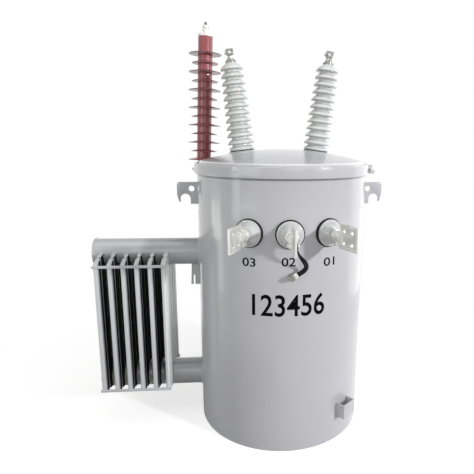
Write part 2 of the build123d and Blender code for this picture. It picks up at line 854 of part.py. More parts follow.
# Tie bars along the fin edges
bar_length = (fin_count - 1) * fin_pitch + fin_thickness + 2 * bar_overhang
bar_seat = fin_half_depth - fin_valley_width / 2
for level, bar_bottom in (("upper", fin_top - bar_height), ("lower", fin_bottom)):
    for name, side in (("front", -1), ("rear", 1)):
        with BuildPart() as bar:
            with BuildSketch(Plane.XY.offset(bar_bottom)):
                with Locations((-(fin_first + fin_last) / 2, side * (bar_seat + bar_thickness / 2))):
                    Rectangle(bar_length, bar_thickness)
            extrude(amount=bar_height)
        save(bar.part, f"tie_bar_{level}_{name}")

# Slotted plate on the left of the wall
slot_plate_tip = tank_radius + slot_plate_reach
slot_inner = tank_radius + slot_reach - slot_width / 2
slot_plane = Plane(origin=(0, slot_plate_setback, 0), x_dir=(-1, 0, 0), z_dir=(0, 1, 0))
with BuildPart() as slotted_side_bracket:
    with BuildSketch(slot_plane):
        with BuildLine():
            Polyline(
                (bracket_inner, slot_plate_bottom),
                (slot_plate_tip, slot_plate_bottom),
                (slot_plate_tip - slot_plate_taper, slot_plate_top),
                (bracket_inner, slot_plate_top),
                close=True,
            )
        make_face()
        with Locations((slot_inner + slot_width / 2, slot_plate_bottom)):
            Rectangle(slot_width, 2 * slot_height, mode=Mode.SUBTRACT)
    extrude(amount=-slot_plate_thickness)
    add(tank_solid, mode=Mode.SUBTRACT)
save(slotted_side_bracket.part, "slotted_side_bracket")

# Channel bracket low on the right
channel_plane = Plane(
    origin=(0, 0, channel_bottom), x_dir=radial(channel_azimuth), z_dir=(0, 0, 1)
)
channel_length = channel_reach + seam_depth
with BuildPart() as lower_channel_bracket:
    with BuildSketch(channel_plane):
        with Locations((bracket_inner + channel_length / 2, 0)):
            Rectangle(channel_length, 2 * channel_half_width)
        with Locations((bracket_inner + channel_length / 2 - channel_thickness, 0)):
            Rectangle(
                channel_length,
                2 * (channel_half_width - channel_thickness),
                mode=Mode.SUBTRACT,
            )
    extrude(amount=channel_height)
    add(tank_solid, mode=Mode.SUBTRACT)
save(lower_channel_bracket.part, "lower_channel_bracket")

# Hanger brackets on the back
hanger_length = hanger_reach + seam_depth
for name, bottom in zip(hanger_names, (hanger_bottom, hanger_bottom + hanger_spacing)):
    with BuildPart() as hanger:
        with BuildSketch(Plane.XY.offset(bottom)):
            with Locations((0, bracket_inner + hanger_length / 2)):
                Rectangle(2 * hanger_half_width, hanger_length)
            with Locations((0, bracket_inner + hanger_length / 2 - hanger_thickness)):
                Rectangle(
                    2 * (hanger_half_width - hanger_thickness),
                    hanger_length,
                    mode=Mode.SUBTRACT,
                )
        extrude(amount=hanger_height)
        add(tank_solid, mode=Mode.SUBTRACT)
        web_plane = Plane(
            origin=(0, tank_radius + hanger_reach, bottom + hanger_height / 2),
            x_dir=(-1, 0, 0),
            z_dir=(0, 1, 0),
        )
        with BuildSketch(web_plane):
            with Locations((0, -hanger_key_drop / 2)):
                Circle(hanger_key_radius)
            SlotCenterToCenter(hanger_key_drop, 2 * hanger_slot_radius, rotation=90)
        extrude(amount=-2 * hanger_thickness, mode=Mode.SUBTRACT)
    save(hanger.part, f"hanger_bracket_{name}")
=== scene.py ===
import bmesh
import bpy
import json
from math import asin, cos, degrees, pi, radians, sin, sqrt
from mathutils import Euler, Matrix, Vector


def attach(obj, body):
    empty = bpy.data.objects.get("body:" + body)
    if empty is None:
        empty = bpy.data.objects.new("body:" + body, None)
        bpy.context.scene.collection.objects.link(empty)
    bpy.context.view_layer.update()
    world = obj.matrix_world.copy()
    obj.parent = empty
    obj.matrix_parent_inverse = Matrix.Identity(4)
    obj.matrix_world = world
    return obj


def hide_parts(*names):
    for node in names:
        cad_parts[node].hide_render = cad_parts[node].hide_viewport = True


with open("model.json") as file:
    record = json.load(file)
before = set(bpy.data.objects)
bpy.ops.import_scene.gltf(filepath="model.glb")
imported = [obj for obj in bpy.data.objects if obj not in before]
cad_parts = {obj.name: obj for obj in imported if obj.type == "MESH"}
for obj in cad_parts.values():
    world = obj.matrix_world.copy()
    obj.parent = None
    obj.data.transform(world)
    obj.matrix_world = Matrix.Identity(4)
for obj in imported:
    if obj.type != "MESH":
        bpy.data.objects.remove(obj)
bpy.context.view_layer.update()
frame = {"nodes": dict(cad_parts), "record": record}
print("frame loaded:", len(frame["nodes"]), "nodes")

# camera, matched to the photograph's viewing angle
cameraSetup = {
    "place": (-0.1849, -1.9198, 1.2095),
    "headingDeg": 5.16,      # right of straight ahead
    "pitchDeg": 11.93,       # down
    "rollDeg": 0.51,
    "lens": 33.95,
    "sensor": 36.0,
    "shiftX": -0.0865,
}


def makeCamera(setup):
    data = bpy.data.cameras.new("camera")
    data.lens = setup["lens"]
    data.sensor_width = setup["sensor"]
    data.sensor_fit = "HORIZONTAL"
    data.shift_x = setup["shiftX"]
    data.clip_start = 0.05
    data.clip_end = 60
    camera = bpy.data.objects.new("camera", data)
    bpy.context.scene.collection.objects.link(camera)
    turn = Euler((radians(90 - setup["pitchDeg"]), 0, -radians(setup["headingDeg"]))).to_matrix()
    turn = turn @ Matrix.Rotation(radians(setup["rollDeg"]), 3, "Z")
    camera.matrix_world = Matrix.Translation(setup["place"]) @ turn.to_4x4()
    bpy.context.scene.camera = camera


makeCamera(cameraSetup)


# node trees: Bench adds nodes, Wire lets sockets be added and multiplied
class Wire:
    def __init__(self, bench, socket):
        self.bench = bench
        self.socket = socket

    def maths(self, operation, other, swapped=False):
        first, second = (other, self) if swapped else (self, other)
        node = self.bench.add("ShaderNodeMath", {"operation": operation}, {0: first, 1: second})
        return Wire(self.bench, node.outputs[0])

    def __add__(self, other): return self.maths("ADD", other)
    def __radd__(self, other): return self.maths("ADD", other)
    def __sub__(self, other): return self.maths("SUBTRACT", other)
    def __rsub__(self, other): return self.maths("SUBTRACT", other, True)
    def __mul__(self, other): return self.maths("MULTIPLY", other)
    def __rmul__(self, other): return self.maths("MULTIPLY", other)
    def __truediv__(self, other): return self.maths("DIVIDE", other)
    def __mod__(self, other): return self.maths("MODULO", other)


class Bench:
    def __init__(self, tree):
        self.tree = tree

    def add(self, kind, settings=None, sockets=None):
        node = self.tree.nodes.new(kind)
        for key, value in (settings or {}).items():
            if key == "stops":
                ramp = node.color_ramp
                while len(ramp.elements) < len(value):
                    ramp.elements.new(1.0)
                for element, (place, colour) in zip(ramp.elements, value):
                    element.position = place
                    element.color = colour
            else:
                setattr(node, key, value)
        for key, value in (sockets or {}).items():
            if isinstance(value, Wire):
                value = value.socket
            if isinstance(value, bpy.types.NodeSocket):
                self.tree.links.new(value, node.inputs[key])
            else:
                node.inputs[key].default_value = value
        return node

    def wire(self, node, output=0):
        return Wire(self, node.outputs[output])

    def sine(self, value):
        return self.wire(self.add("ShaderNodeMath", {"operation": "SINE"}, {0: value}))

    def spread(self, value, low, high):
        # 0 below low, 1 above high, smooth between
        sockets = {"Value": value, "From Min": low, "From Max": high}
        return self.wire(self.add("ShaderNodeMapRange", {"interpolation_type": "SMOOTHSTEP"}, sockets))

    def noise(self, place, scale, detail=3.0, roughness=0.5):
        sockets = {"Vector": place, "Scale": scale, "Detail": detail, "Roughness": roughness}
        return self.wire(self.add("ShaderNodeTexNoise", None, sockets))

    def blendColour(self, mask, first, second):
        node = self.add("ShaderNodeMix", {"data_type": "RGBA"}, {0: mask, 6: first, 7: second})
        return node.outputs[2]


def newMaterial(name, fixed):
    material = bpy.data.materials.new(name)
    material.use_nodes = True
    material.node_tree.nodes.clear()
    bench = Bench(material.node_tree)
    shader = bench.add("ShaderNodeBsdfPrincipled", None, fixed)
    bench.add("ShaderNodeOutputMaterial", None, {"Surface": shader.outputs[0]})
    place = bench.add("ShaderNodeTexCoord").outputs["Object"]
    return material, bench, shader, place


def finishSurface(bench, shader, colour, roughness, height, strength, distance):
    tree = bench.tree
    tree.links.new(colour, shader.inputs["Base Color"])
    tree.links.new(roughness.socket, shader.inputs["Roughness"])
    bump = bench.add("ShaderNodeBump", None, {"Height": height, "Strength": strength, "Distance": distance})
    tree.links.new(bump.outputs[0], shader.inputs["Normal"])


# light grey enamel: soft clouds of dust, orange peel, a few dull rubs; painted shade under the band and at the cover's
# shoulder, a painted highlight along the cover's knee
enamel = {
    "colour": (0.605, 0.6, 0.635, 1), "dusty": (0.555, 0.55, 0.56, 1), "rubbed": (0.65, 0.65, 0.665, 1),
    "cloudScale": 3.2, "rubScale": 14.0, "peelScale": 170.0,
    "gloss": 0.2, "dullBy": 0.03, "coat": 0.5, "coatRoughness": 0.025,
    # the dark crevice colour on this line is painted shade under the clamping band
    "creviceShade": (0.16, 0.16, 0.17, 1), "creviceLow": 1.0735, "creviceHigh": 1.0800, "creviceRadius": 0.3585,
    "rings": (  # radii, levels, feather, tone, share
        # painted highlight along the cover's knee
        ((0.3355, 0.3435), (1.1315, 1.1450), 0.0006, (0.92, 0.92, 0.93, 1), 0.8),
        # painted shade at the foot of the cover's shoulder
        ((0.3440, 0.3530), (1.1195, 1.1250), 0.0005, (0.22, 0.22, 0.23, 1), 0.6),
    ),
}


def makeEnamel(name, look):
    fixed = {"Coat Weight": look["coat"], "Coat Roughness": look["coatRoughness"], "IOR": 1.5}
    material, bench, shader, place = newMaterial(name, fixed)
    clouds = bench.spread(bench.noise(place, look["cloudScale"], 5.0, 0.6), 0.42, 0.72)
    rubs = bench.spread(bench.noise(place, look["rubScale"], 5.0, 0.6), 0.5, 0.85)
    peel = bench.noise(place, look["peelScale"], 2.0)
    colour = bench.blendColour(clouds * 0.4, look["colour"], look["dusty"])
    colour = bench.blendColour(rubs * 0.3, colour, look["rubbed"])
    # painted shade: a dark line on the wall in the crevice under the clamping band
    split = bench.add("ShaderNodeSeparateXYZ", None, {0: place})
    level = bench.wire(split, 2)
    flat = bench.add("ShaderNodeVectorMath", {"operation": "MULTIPLY"}, {0: place, 1: (1, 1, 0)}).outputs[0]
    radius = bench.wire(bench.add("ShaderNodeVectorMath", {"operation": "LENGTH"}, {0: flat}), "Value")
    creviceShade = bench.spread(level, look["creviceLow"], look["creviceHigh"])
    creviceShade = creviceShade * (1 - bench.spread(radius, look["creviceRadius"] - 0.0005, look["creviceRadius"] + 0.0005))
    creviceShade = creviceShade * bench.spread(radius, 0.3540, 0.3545) * (1 - bench.spread(level, 1.0868, 1.0872))
    colour = bench.blendColour(creviceShade * 0.85, colour, look["creviceShade"])
    # rings round the cover: a painted highlight along the knee, painted shade at the shoulder's foot
    for (inner, outer), (low, high), feather, tone, share in look["rings"]:
        ring = bench.spread(radius, inner - feather, inner + feather) * (1 - bench.spread(radius, outer - feather, outer + feather))
        ring = ring * bench.spread(level, low - feather, low + feather) * (1 - bench.spread(level, high - feather, high + feather))
        colour = bench.blendColour(ring * share, colour, tone)
    roughness = look["gloss"] + look["dullBy"] * clouds + 0.03 * rubs
    finishSurface(bench, shader, colour, roughness, peel + 0.05 * rubs, 0.12, 0.0004)
    return material


# glazed porcelain: pooled glaze, tiny specks, painted shade in the valleys and under the sheds
glaze = {
    "colour": (0.70, 0.70, 0.71, 1), "pooled": (0.64, 0.665, 0.655, 1), "speck": (0.42, 0.40, 0.36, 1),
    # the hollow colour on this line is painted shade in the valleys and under the sheds
    "hollow": (0.28, 0.28, 0.29, 1), "hollowShare": 0.8, "poolScale": 22.0, "speckScale": 420.0, "gloss": 0.1,
}


def makeGlaze(name, look):
    material, bench, shader, place = newMaterial(name, {"Coat Weight": 0.4, "Coat Roughness": 0.04, "IOR": 1.5})
    pool = bench.spread(bench.noise(place, look["poolScale"], 4.0), 0.4, 0.7)
    specks = bench.spread(bench.noise(place, look["speckScale"], 1.0), 0.74, 0.8)
    hollow = bench.wire(bench.add("ShaderNodeAttribute", {"attribute_name": "hollow"}), "Fac")
    colour = bench.blendColour(pool * 0.6, look["colour"], look["pooled"])
    colour = bench.blendColour(specks * 0.5, colour, look["speck"])
    # painted shade in the valleys and under the sheds
    colour = bench.blendColour(hollow * look["hollowShare"], colour, look["hollow"])
    roughness = look["gloss"] + 0.12 * pool
    finishSurface(bench, shader, colour, roughness, pool + 0.4 * specks, 0.15, 0.0005)
    return material


# brick red polymer: matt skin, painted light on the sheds' undersides, painted shade on the shed rims
polymerLook = {
    "colour": (0.36, 0.078, 0.09, 1), "faded": (0.43, 0.14, 0.155, 1), "underLight": (0.66, 0.70, 0.66, 1),
    # the rim colour on this line is painted shade on the shed rims
    "rim": (0.10, 0.022, 0.026, 1), "cloudScale": 9.0, "grainScale": 500.0, "gloss": 0.3, "chalkShare": 0.9,
}


def makePolymer(name, look):
    material, bench, shader, place = newMaterial(name, {"IOR": 1.45, "Coat Weight": 0.5, "Coat Roughness": 0.07})
    facing = bench.add("ShaderNodeTexCoord").outputs["Normal"]
    upward = bench.wire(bench.add("ShaderNodeSeparateXYZ", None, {0: facing}), 2)
    hollow = bench.wire(bench.add("ShaderNodeAttribute", {"attribute_name": "hollow"}), "Fac")
    under = bench.spread(0 - upward, 0.55, 0.95) * (1 - bench.spread(hollow, 0.35, 0.7))
    clouds = bench.spread(bench.noise(place, look["cloudScale"], 5.0), 0.4, 0.7)
    grain = bench.noise(place, look["grainScale"], 2.0)
    colour = bench.blendColour(clouds * 0.5, look["colour"], look["faded"])
    # painted light: the sheds' downward faces painted pale greenish grey
    colour = bench.blendColour(under * look["chalkShare"], colour, look["underLight"])
    # painted shade: the shed rims darkened
    colour = bench.blendColour((1 - bench.spread(hollow, 0.01, 0.1)) * 0.75, colour, look["rim"])
    roughness = look["gloss"] + 0.15 * clouds + 0.2 * under
    finishSurface(bench, shader, colour, roughness, grain, 0.2, 0.0003)
    return material


# tin plating: satin, mottled by handling
tinLook = {
    "colour": (0.80, 0.80, 0.77, 1), "stained": (0.67, 0.675, 0.63, 1), "metal": 0.6, "gloss": 0.36,
    "stainScale": 38.0, "stainShare": 0.6,
}
agedLook = {**tinLook, "colour": (0.40, 0.40, 0.375, 1), "stained": (0.06, 0.06, 0.055, 1), "gloss": 0.26, "stainScale": 95.0, "stainShare": 0.9}


def makeTin(name, look):
    material, bench, shader, place = newMaterial(name, {"Metallic": look["metal"]})
    stains = bench.spread(bench.noise(place, look["stainScale"], 6.0, 0.65), 0.38, 0.74)
    scratches = bench.noise(place, 900.0, 2.0)
    colour = bench.blendColour(stains * look["stainShare"], look["colour"], look["stained"])
    roughness = look["gloss"] + 0.18 * stains + 0.08 * scratches
    finishSurface(bench, shader, colour, roughness, stains + 0.5 * scratches, 0.2, 0.0003)
    return material


# dull zinc: crystal spangle
zincLook = {"colour": (0.30, 0.30, 0.31, 1), "spangle": (0.42, 0.42, 0.43, 1), "metal": 0.8, "gloss": 0.4}


def makeZinc(name, look):
    material, bench, shader, place = newMaterial(name, {"Metallic": look["metal"]})
    cells = bench.wire(bench.add("ShaderNodeTexVoronoi", None, {"Vector": place, "Scale": 160.0}))
    grimeAndShade = bench.spread(bench.noise(place, 45.0, 5.0), 0.45, 0.7)
    colour = bench.blendColour(cells, look["colour"], look["spangle"])
    colour = bench.blendColour(grimeAndShade * 0.5, colour, (0.12, 0.12, 0.12, 1))
    roughness = look["gloss"] + 0.2 * grimeAndShade
    finishSurface(bench, shader, colour, roughness, grimeAndShade + 0.3 * cells, 0.2, 0.0004)
    return material


# black rubber and insulation: faint bloom
rubberLook = {"colour": (0.008, 0.008, 0.01, 1), "bloom": (0.024, 0.024, 0.026, 1), "gloss": 0.4, "shine": 0.14}


def makeRubber(name, look):
    material, bench, shader, place = newMaterial(name, {"IOR": 1.5, "Specular IOR Level": look["shine"]})
    bloom = bench.spread(bench.noise(place, 60.0, 5.0), 0.45, 0.75)
    grain = bench.noise(place, 700.0, 2.0)
    colour = bench.blendColour(bloom * 0.6, look["colour"], look["bloom"])
    roughness = look["gloss"] + 0.2 * bloom
    finishSurface(bench, shader, colour, roughness, grain, 0.25, 0.0003)
    return material


# stencil ink: thin flat black, slightly patchy
inkLook = {"colour": (0.003, 0.003, 0.004, 1), "bloom": (0.008, 0.008, 0.01, 1), "gloss": 0.62, "shine": 0.03}

# paint of the radiator panels: the enamel made lighter, with painted shade between the panels and painted light on the
# face towards the tank
grimeAndShade = {
    # the dark colours are painted shade on the panel faces between the panels
    "colour": (0.016, 0.016, 0.018, 1), "streak": (0.05, 0.05, 0.052, 1), "left": -0.7565, "right": -0.4885,
    # the pale last colour on this line is painted light on the panel face towards the tank
    "clearDepth": 0.150, "fullDepth": 0.118, "feather": 0.0015, "litFace": (0.87, 0.89, 0.88, 1),
}


def makePanelPaint(name, look, gapShade):
    material = makeEnamel(name, {**look, "coat": 0.05, "gloss": 0.34})
    tree = material.node_tree
    bench = Bench(tree)
    place = bench.add("ShaderNodeTexCoord").outputs["Object"]
    split = bench.add("ShaderNodeSeparateXYZ", None, {0: place})
    sideways, deep = bench.wire(split, 0), bench.wire(split, 1)
    depth = bench.wire(bench.add("ShaderNodeMath", {"operation": "ABSOLUTE"}, {0: deep}))
    # painted shade: flat panel faces inside the pack go dark away from the front edge
    shadedGap = bench.spread(sideways, gapShade["left"] - gapShade["feather"], gapShade["left"] + gapShade["feather"])
    shadedGap = shadedGap * bench.spread(0 - sideways, -gapShade["right"] - gapShade["feather"], -gapShade["right"] + gapShade["feather"])
    shadedGap = shadedGap * (1 - bench.spread(depth, gapShade["fullDepth"], gapShade["clearDepth"]))
    facing = bench.add("ShaderNodeTexCoord").outputs["Normal"]
    flatness = bench.wire(bench.add("ShaderNodeSeparateXYZ", None, {0: facing}), 0)
    shadedGap = shadedGap * bench.spread(flatness * flatness, 0.15, 0.45)  # edges stay clean
    stretched = bench.add("ShaderNodeMapping", None, {"Vector": place, "Scale": (30.0, 22.0, 3.0)}).outputs[0]
    streaks = bench.spread(bench.noise(stretched, 1.0, 4.0), 0.45, 0.75)
    # this dark shader is the painted shade between the panels
    shadeShader = bench.add("ShaderNodeBsdfPrincipled", None, {"Specular IOR Level": 0.06})
    finishSurface(bench, shadeShader, bench.blendColour(streaks, gapShade["colour"], gapShade["streak"]), 0.8 + 0.1 * streaks, streaks, 0.2, 0.0004)
    clean = next(node for node in tree.nodes if node.type == "BSDF_PRINCIPLED" and node != shadeShader)
    output = next(node for node in tree.nodes if node.type == "OUTPUT_MATERIAL")
    # painted light: the face towards the tank is painted palest
    worn = clean.inputs["Base Color"].links[0].from_socket
    facingTank = bench.spread(sideways, gapShade["right"] - 0.001, gapShade["right"] + 0.001)
    tree.links.new(bench.blendColour(facingTank, worn, gapShade["litFace"]), clean.inputs["Base Color"])
    both = bench.add("ShaderNodeMixShader", None, {0: shadedGap, 1: clean.outputs[0], 2: shadeShader.outputs[0]})
    tree.links.new(both.outputs[0], output.inputs["Surface"])
    return material


finishes = {
    "paint": makeEnamel("lightGreyEnamel", enamel),
    "porcelain": makeGlaze("lightGreyGlaze", glaze),
    "whiteGlaze": makeGlaze("whiteGlaze", {**glaze, "colour": (0.79, 0.80, 0.795, 1), "pooled": (0.71, 0.76, 0.735, 1), "hollowShare": 0.65}),
    "polymer": makePolymer("brickRedPolymer", polymerLook),
    "tinned": makeTin("tinPlate", tinLook),
    "galvanised": makeZinc("dullZinc", zincLook),
    "black_rubber": makeRubber("blackRubber", rubberLook),
    "core_iron": makeZinc("coreIron", {**zincLook, "colour": (0.09, 0.085, 0.08, 1), "spangle": (0.12, 0.11, 0.10, 1)}),
    "ink": makeRubber("stencilInk", inkLook),
    "aged": makeTin("agedPlating", agedLook),
    # pale copy of the enamel: painted light on the slotted plate, which stands in the tank's shade
    "pale": makeEnamel("paintedLightEnamel", {**enamel, "colour": (0.90, 0.92, 0.91, 1), "dusty": (0.84, 0.86, 0.85, 1), "rubbed": (0.93, 0.94, 0.94, 1)}),
    # darker copy of the enamel: on the headers, and as painted shade on the left lug
    "pipe": makeEnamel("pipeEnamel", {**enamel, "colour": (0.50, 0.50, 0.52, 1), "dusty": (0.44, 0.44, 0.45, 1)}),
    "panel": makePanelPaint("panelEnamel", {**enamel, "colour": (0.70, 0.70, 0.725, 1), "dusty": (0.64, 0.64, 0.65, 1)}, grimeAndShade),
}
print("finishes made:", len(finishes))

# every CAD node gets its finish; the ones that stay visible keep it
for part in frame["record"]["subparts"]:
    node = frame["nodes"][part["node"]]
    node.data.materials.clear()
    node.data.materials.append(finishes[part["material_slot"]])


# mesh helpers
def finishPiece(name, mesh, slotName, nodes=(), finish=None, smoothDeg=35):
    mesh.name = name
    mesh.materials.clear()
    mesh.materials.append(finishes[finish or slotName])
    mesh.polygons.foreach_set("use_smooth", [True] * len(mesh.polygons))
    mesh.set_sharp_from_angle(angle=radians(smoothDeg))
    piece = bpy.data.objects.new(name, mesh)
    bpy.context.scene.collection.objects.link(piece)
    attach(piece, "root")
    if nodes:
        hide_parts(*nodes)
    return piece


def roundedLine(points, corner, steps=5):
    # points are (x, y) or (x, y, own corner radius)
    line = []
    last = len(points) - 1
    for index, point in enumerate(points):
        radius = point[2] if len(point) > 2 else corner
        here = Vector(point[:2])
        if index in (0, last) or radius == 0:
            line.append(tuple(here))
            continue
        before = (Vector(points[index - 1][:2]) - here)
        after = (Vector(points[index + 1][:2]) - here)
        turn = before.angle(after)
        reach = min(radius / max(1e-6, abs(sin(turn / 2)) / max(1e-6, cos(turn / 2))),
                    before.length * 0.45, after.length * 0.45)
        start = here + before.normalized() * reach
        end = here + after.normalized() * reach
        for step in range(steps + 1):
            share = step / steps
            rest = 1 - share
            line.append(tuple(start * rest * rest + here * (2 * share * rest) + end * share * share))
    return line


def turnedMesh(line, segments=96, closed=True):
    # line holds (radius, height); closed joins its last point to its first
    made = bmesh.new()
    rings = []
    for radius, height in line:
        if radius < 1e-6:
            rings.append([made.verts.new((0, 0, height))] * segments)
        else:
            rings.append([
                made.verts.new((radius * cos(2 * pi * step / segments), radius * sin(2 * pi * step / segments), height))
                for step in range(segments)
            ])
    count = len(rings)
    for index in range(count if closed else count - 1):
        low, high = rings[index], rings[(index + 1) % count]
        for step in range(segments):
            corners = [low[step], low[(step + 1) % segments], high[(step + 1) % segments], high[step]]
            corners = list(dict.fromkeys(corners))
            if len(corners) > 2:
                made.faces.new(corners)
    bmesh.ops.recalc_face_normals(made, faces=made.faces)
    mesh = bpy.data.meshes.new("turned")
    made.to_mesh(mesh)
    made.free()
    return mesh


def standOn(foot, axis):
    # matrix that stands a turned mesh on foot along axis
    return Matrix.Translation(foot) @ Vector(axis).to_track_quat("Z", "Y").to_matrix().to_4x4()


def joinMeshes(meshes):
    made = bmesh.new()
    for mesh in meshes:
        made.from_mesh(mesh)
        bpy.data.meshes.remove(mesh)
    mesh = bpy.data.meshes.new("joined")
    made.to_mesh(mesh)
    made.free()
    return mesh


def bakedMesh(holder):
    holder.data.update() if holder.type == "MESH" else None
    depsgraph = bpy.context.evaluated_depsgraph_get()
    depsgraph.update()
    mesh = bpy.data.meshes.new_from_object(holder.evaluated_get(depsgraph), depsgraph=depsgraph)
    holder.modifiers.clear()
    bpy.data.objects.remove(holder)
    return mesh


def easedNode(nodeName, width=0.0009, angleDeg=32):
    # a copy of a CAD node's mesh with its edges eased
    made = bmesh.new()
    made.from_mesh(frame["nodes"][nodeName].data)
    bmesh.ops.remove_doubles(made, verts=made.verts, dist=1e-5)
    bmesh.ops.dissolve_limit(made, angle_limit=radians(0.7), verts=made.verts, edges=made.edges)
    mesh = bpy.data.meshes.new("eased")
    made.to_mesh(mesh)
    made.free()
    holder = bpy.data.objects.new("holder", mesh)
    bpy.context.scene.collection.objects.link(holder)
    bevel = holder.modifiers.new("ease", "BEVEL")
    bevel.width = width
    bevel.segments = 2
    bevel.limit_method = "ANGLE"
    bevel.angle_limit = radians(angleDeg)
    bevel.use_clamp_overlap = True
    return bakedMesh(holder)


# geometry trees
def newTree(name, inputs):
    tree = bpy.data.node_groups.new(name, "GeometryNodeTree")
    tree.interface.new_socket("Geometry", in_out="INPUT", socket_type="NodeSocketGeometry")
    for label, kind in inputs.items():
        tree.interface.new_socket(label, in_out="INPUT", socket_type="NodeSocket" + kind)
    tree.interface.new_socket("Geometry", in_out="OUTPUT", socket_type="NodeSocketGeometry")
    bench = Bench(tree)
    source = bench.add("NodeGroupInput")
    return tree, bench, source


def closeTree(bench, geometry, material):
    whole = bench.add("GeometryNodeRealizeInstances", None, {"Geometry": geometry})
    painted = bench.add("GeometryNodeSetMaterial", None, {"Geometry": whole.outputs[0], "Material": material})
    bench.add("NodeGroupOutput", None, {0: painted.outputs[0]})


def grow(tree, mesh, values):
    # runs a tree on a mesh or curve and gives the plain mesh back
    holder = bpy.data.objects.new("holder", mesh)
    bpy.context.scene.collection.objects.link(holder)
    modifier = holder.modifiers.new("grow", "NODES")
    modifier.node_group = tree
    for item in tree.interface.items_tree:
        if item.in_out == "INPUT" and item.name in values:
            modifier[item.identifier] = values[item.name]
    return bakedMesh(holder)


def makeStackTree():
    # copies of one shed up a column, each scaled to its own radius
    tree, bench, source = newTree("shedStack", {
        "Count": "Int", "First": "Float", "Pitch": "Float", "TopShare": "Float", "OddShare": "Float", "Finish": "Material",
    })
    first = bench.add("ShaderNodeCombineXYZ", None, {2: source.outputs["First"]})
    step = bench.add("ShaderNodeCombineXYZ", None, {2: source.outputs["Pitch"]})
    line = bench.add("GeometryNodeMeshLine", {"mode": "OFFSET"}, {
        "Count": source.outputs["Count"], "Start Location": first.outputs[0], "Offset": step.outputs[0],
    })
    index = bench.wire(bench.add("GeometryNodeInputIndex"))
    count = bench.wire(source, "Count")
    topShare = bench.wire(source, "TopShare")
    oddShare = bench.wire(source, "OddShare")
    rise = index / (count - 1)
    reach = (1 + (topShare - 1) * rise) * (1 - (1 - oddShare) * (index % 2))
    scale = bench.add("ShaderNodeCombineXYZ", None, {0: reach, 1: reach, 2: 1.0})
    sheds = bench.add("GeometryNodeInstanceOnPoints", None, {
        "Points": line.outputs[0], "Instance": source.outputs[0], "Scale": scale.outputs[0],
    })
    closeTree(bench, sheds.outputs[0], source.outputs["Finish"])
    return tree


def makeBeadTree():
    # a rippled weld bead along every spline of a curve
    tree, bench, source = newTree("weldBead", {
        "Step": "Float", "Ripple": "Float", "Depth": "Float", "Wander": "Float", "Finish": "Material",
    })
    path = bench.add("GeometryNodeResampleCurve", {"mode": "LENGTH"}, {
        "Curve": source.outputs[0], "Length": source.outputs["Step"],
    })
    along = bench.wire(bench.add("GeometryNodeSplineParameter"), "Length")
    bead = bench.wire(bench.add("GeometryNodeInputRadius"))
    ripple = bench.sine(along * (2 * pi) / bench.wire(source, "Ripple")) * bench.wire(source, "Depth")
    place = bench.add("GeometryNodeInputPosition").outputs[0]
    wander = (bench.noise(place, 90.0, 2.0) - 0.5) * bench.wire(source, "Wander")
    sized = bench.add("GeometryNodeSetCurveRadius", None, {
        "Curve": path.outputs[0], "Radius": bead * (1 + ripple + wander),
    })
    section = bench.add("GeometryNodeCurvePrimitiveCircle", {"mode": "RADIUS"}, {"Resolution": 7, "Radius": 1.0})
    tube = bench.add("GeometryNodeCurveToMesh", None, {
        "Curve": sized.outputs[0], "Profile Curve": section.outputs[0], "Scale": bead * (1 + ripple + wander), "Fill Caps": True,
    })
    closeTree(bench, tube.outputs[0], source.outputs["Finish"])
    return tree


def makeScatterTree():
    # one unit at every point, its Z along the point's aim
    tree, bench, source = newTree("boltScatter", {"Unit": "Object", "Finish": "Material"})
    unit = bench.add("GeometryNodeObjectInfo", None, {"Object": source.outputs["Unit"]})
    aim = bench.add("GeometryNodeInputNamedAttribute", {"data_type": "FLOAT_VECTOR"}, {"Name": "aim"})
    size = bench.add("GeometryNodeInputNamedAttribute", {"data_type": "FLOAT"}, {"Name": "size"})
    turn = bench.add("FunctionNodeAlignRotationToVector", {"axis": "Z"}, {"Vector": aim.outputs[0]})
    placed = bench.add("GeometryNodeInstanceOnPoints", None, {
        "Points": source.outputs[0], "Instance": unit.outputs["Geometry"], "Rotation": turn.outputs[0],
        "Scale": size.outputs[0],
    })
    closeTree(bench, placed.outputs[0], source.outputs["Finish"])
    return tree


stackTree = makeStackTree()
beadTree = makeBeadTree()
scatterTree = makeScatterTree()
print("geometry trees made")


def outward(azimuthDeg):
    return Vector((sin(radians(azimuthDeg)), -cos(radians(azimuthDeg)), 0))


# tank: one rolled shell with a thick rim under the band
tank = {"radius": 0.355, "height": 1.106, "wall": 0.005, "rimRadius": 0.361, "rimDepth": 0.018, "segments": 256}


def makeTank(size):
    inner = size["radius"] - size["wall"]
    rimLow = size["height"] - size["rimDepth"]
    line = roundedLine([
        (inner, 0.0005), (size["radius"], 0.0, 0.0012), (size["radius"], rimLow, 0.002),
        (size["rimRadius"], rimLow, 0.003), (size["rimRadius"], size["height"], 0.001), (inner, size["height"]),
    ], 0.001, 4)
    # extra rings keep the long wall evenly shaded
    dense = []
    for here, there in zip(line, line[1:]):
        dense.append(here)
        cuts = int(abs(there[1] - here[1]) / 0.12)
        for cut in range(1, cuts + 1):
            share = cut / (cuts + 1)
            dense.append((here[0] + (there[0] - here[0]) * share, here[1] + (there[1] - here[1]) * share))
    dense.append(line[-1])
    return turnedMesh(dense, size["segments"])


finishPiece("tankShell", makeTank(tank), "paint", ("tank_wall",))

# cover: rolled edge, shoulder, knee and shallow dome
cover = {
    "edge": 0.015, "shoulder": 0.347, "shoulderTop": 1.1265, "knee": 0.339, "kneeTop": 1.1355,
    "apex": 1.182, "sheet": 0.004, "domeSteps": 22,
}
domeDrop = cover["apex"] - cover["kneeTop"]
domeRadius = (cover["knee"] ** 2 + domeDrop ** 2) / (2 * domeDrop)
domeCentre = cover["apex"] - domeRadius


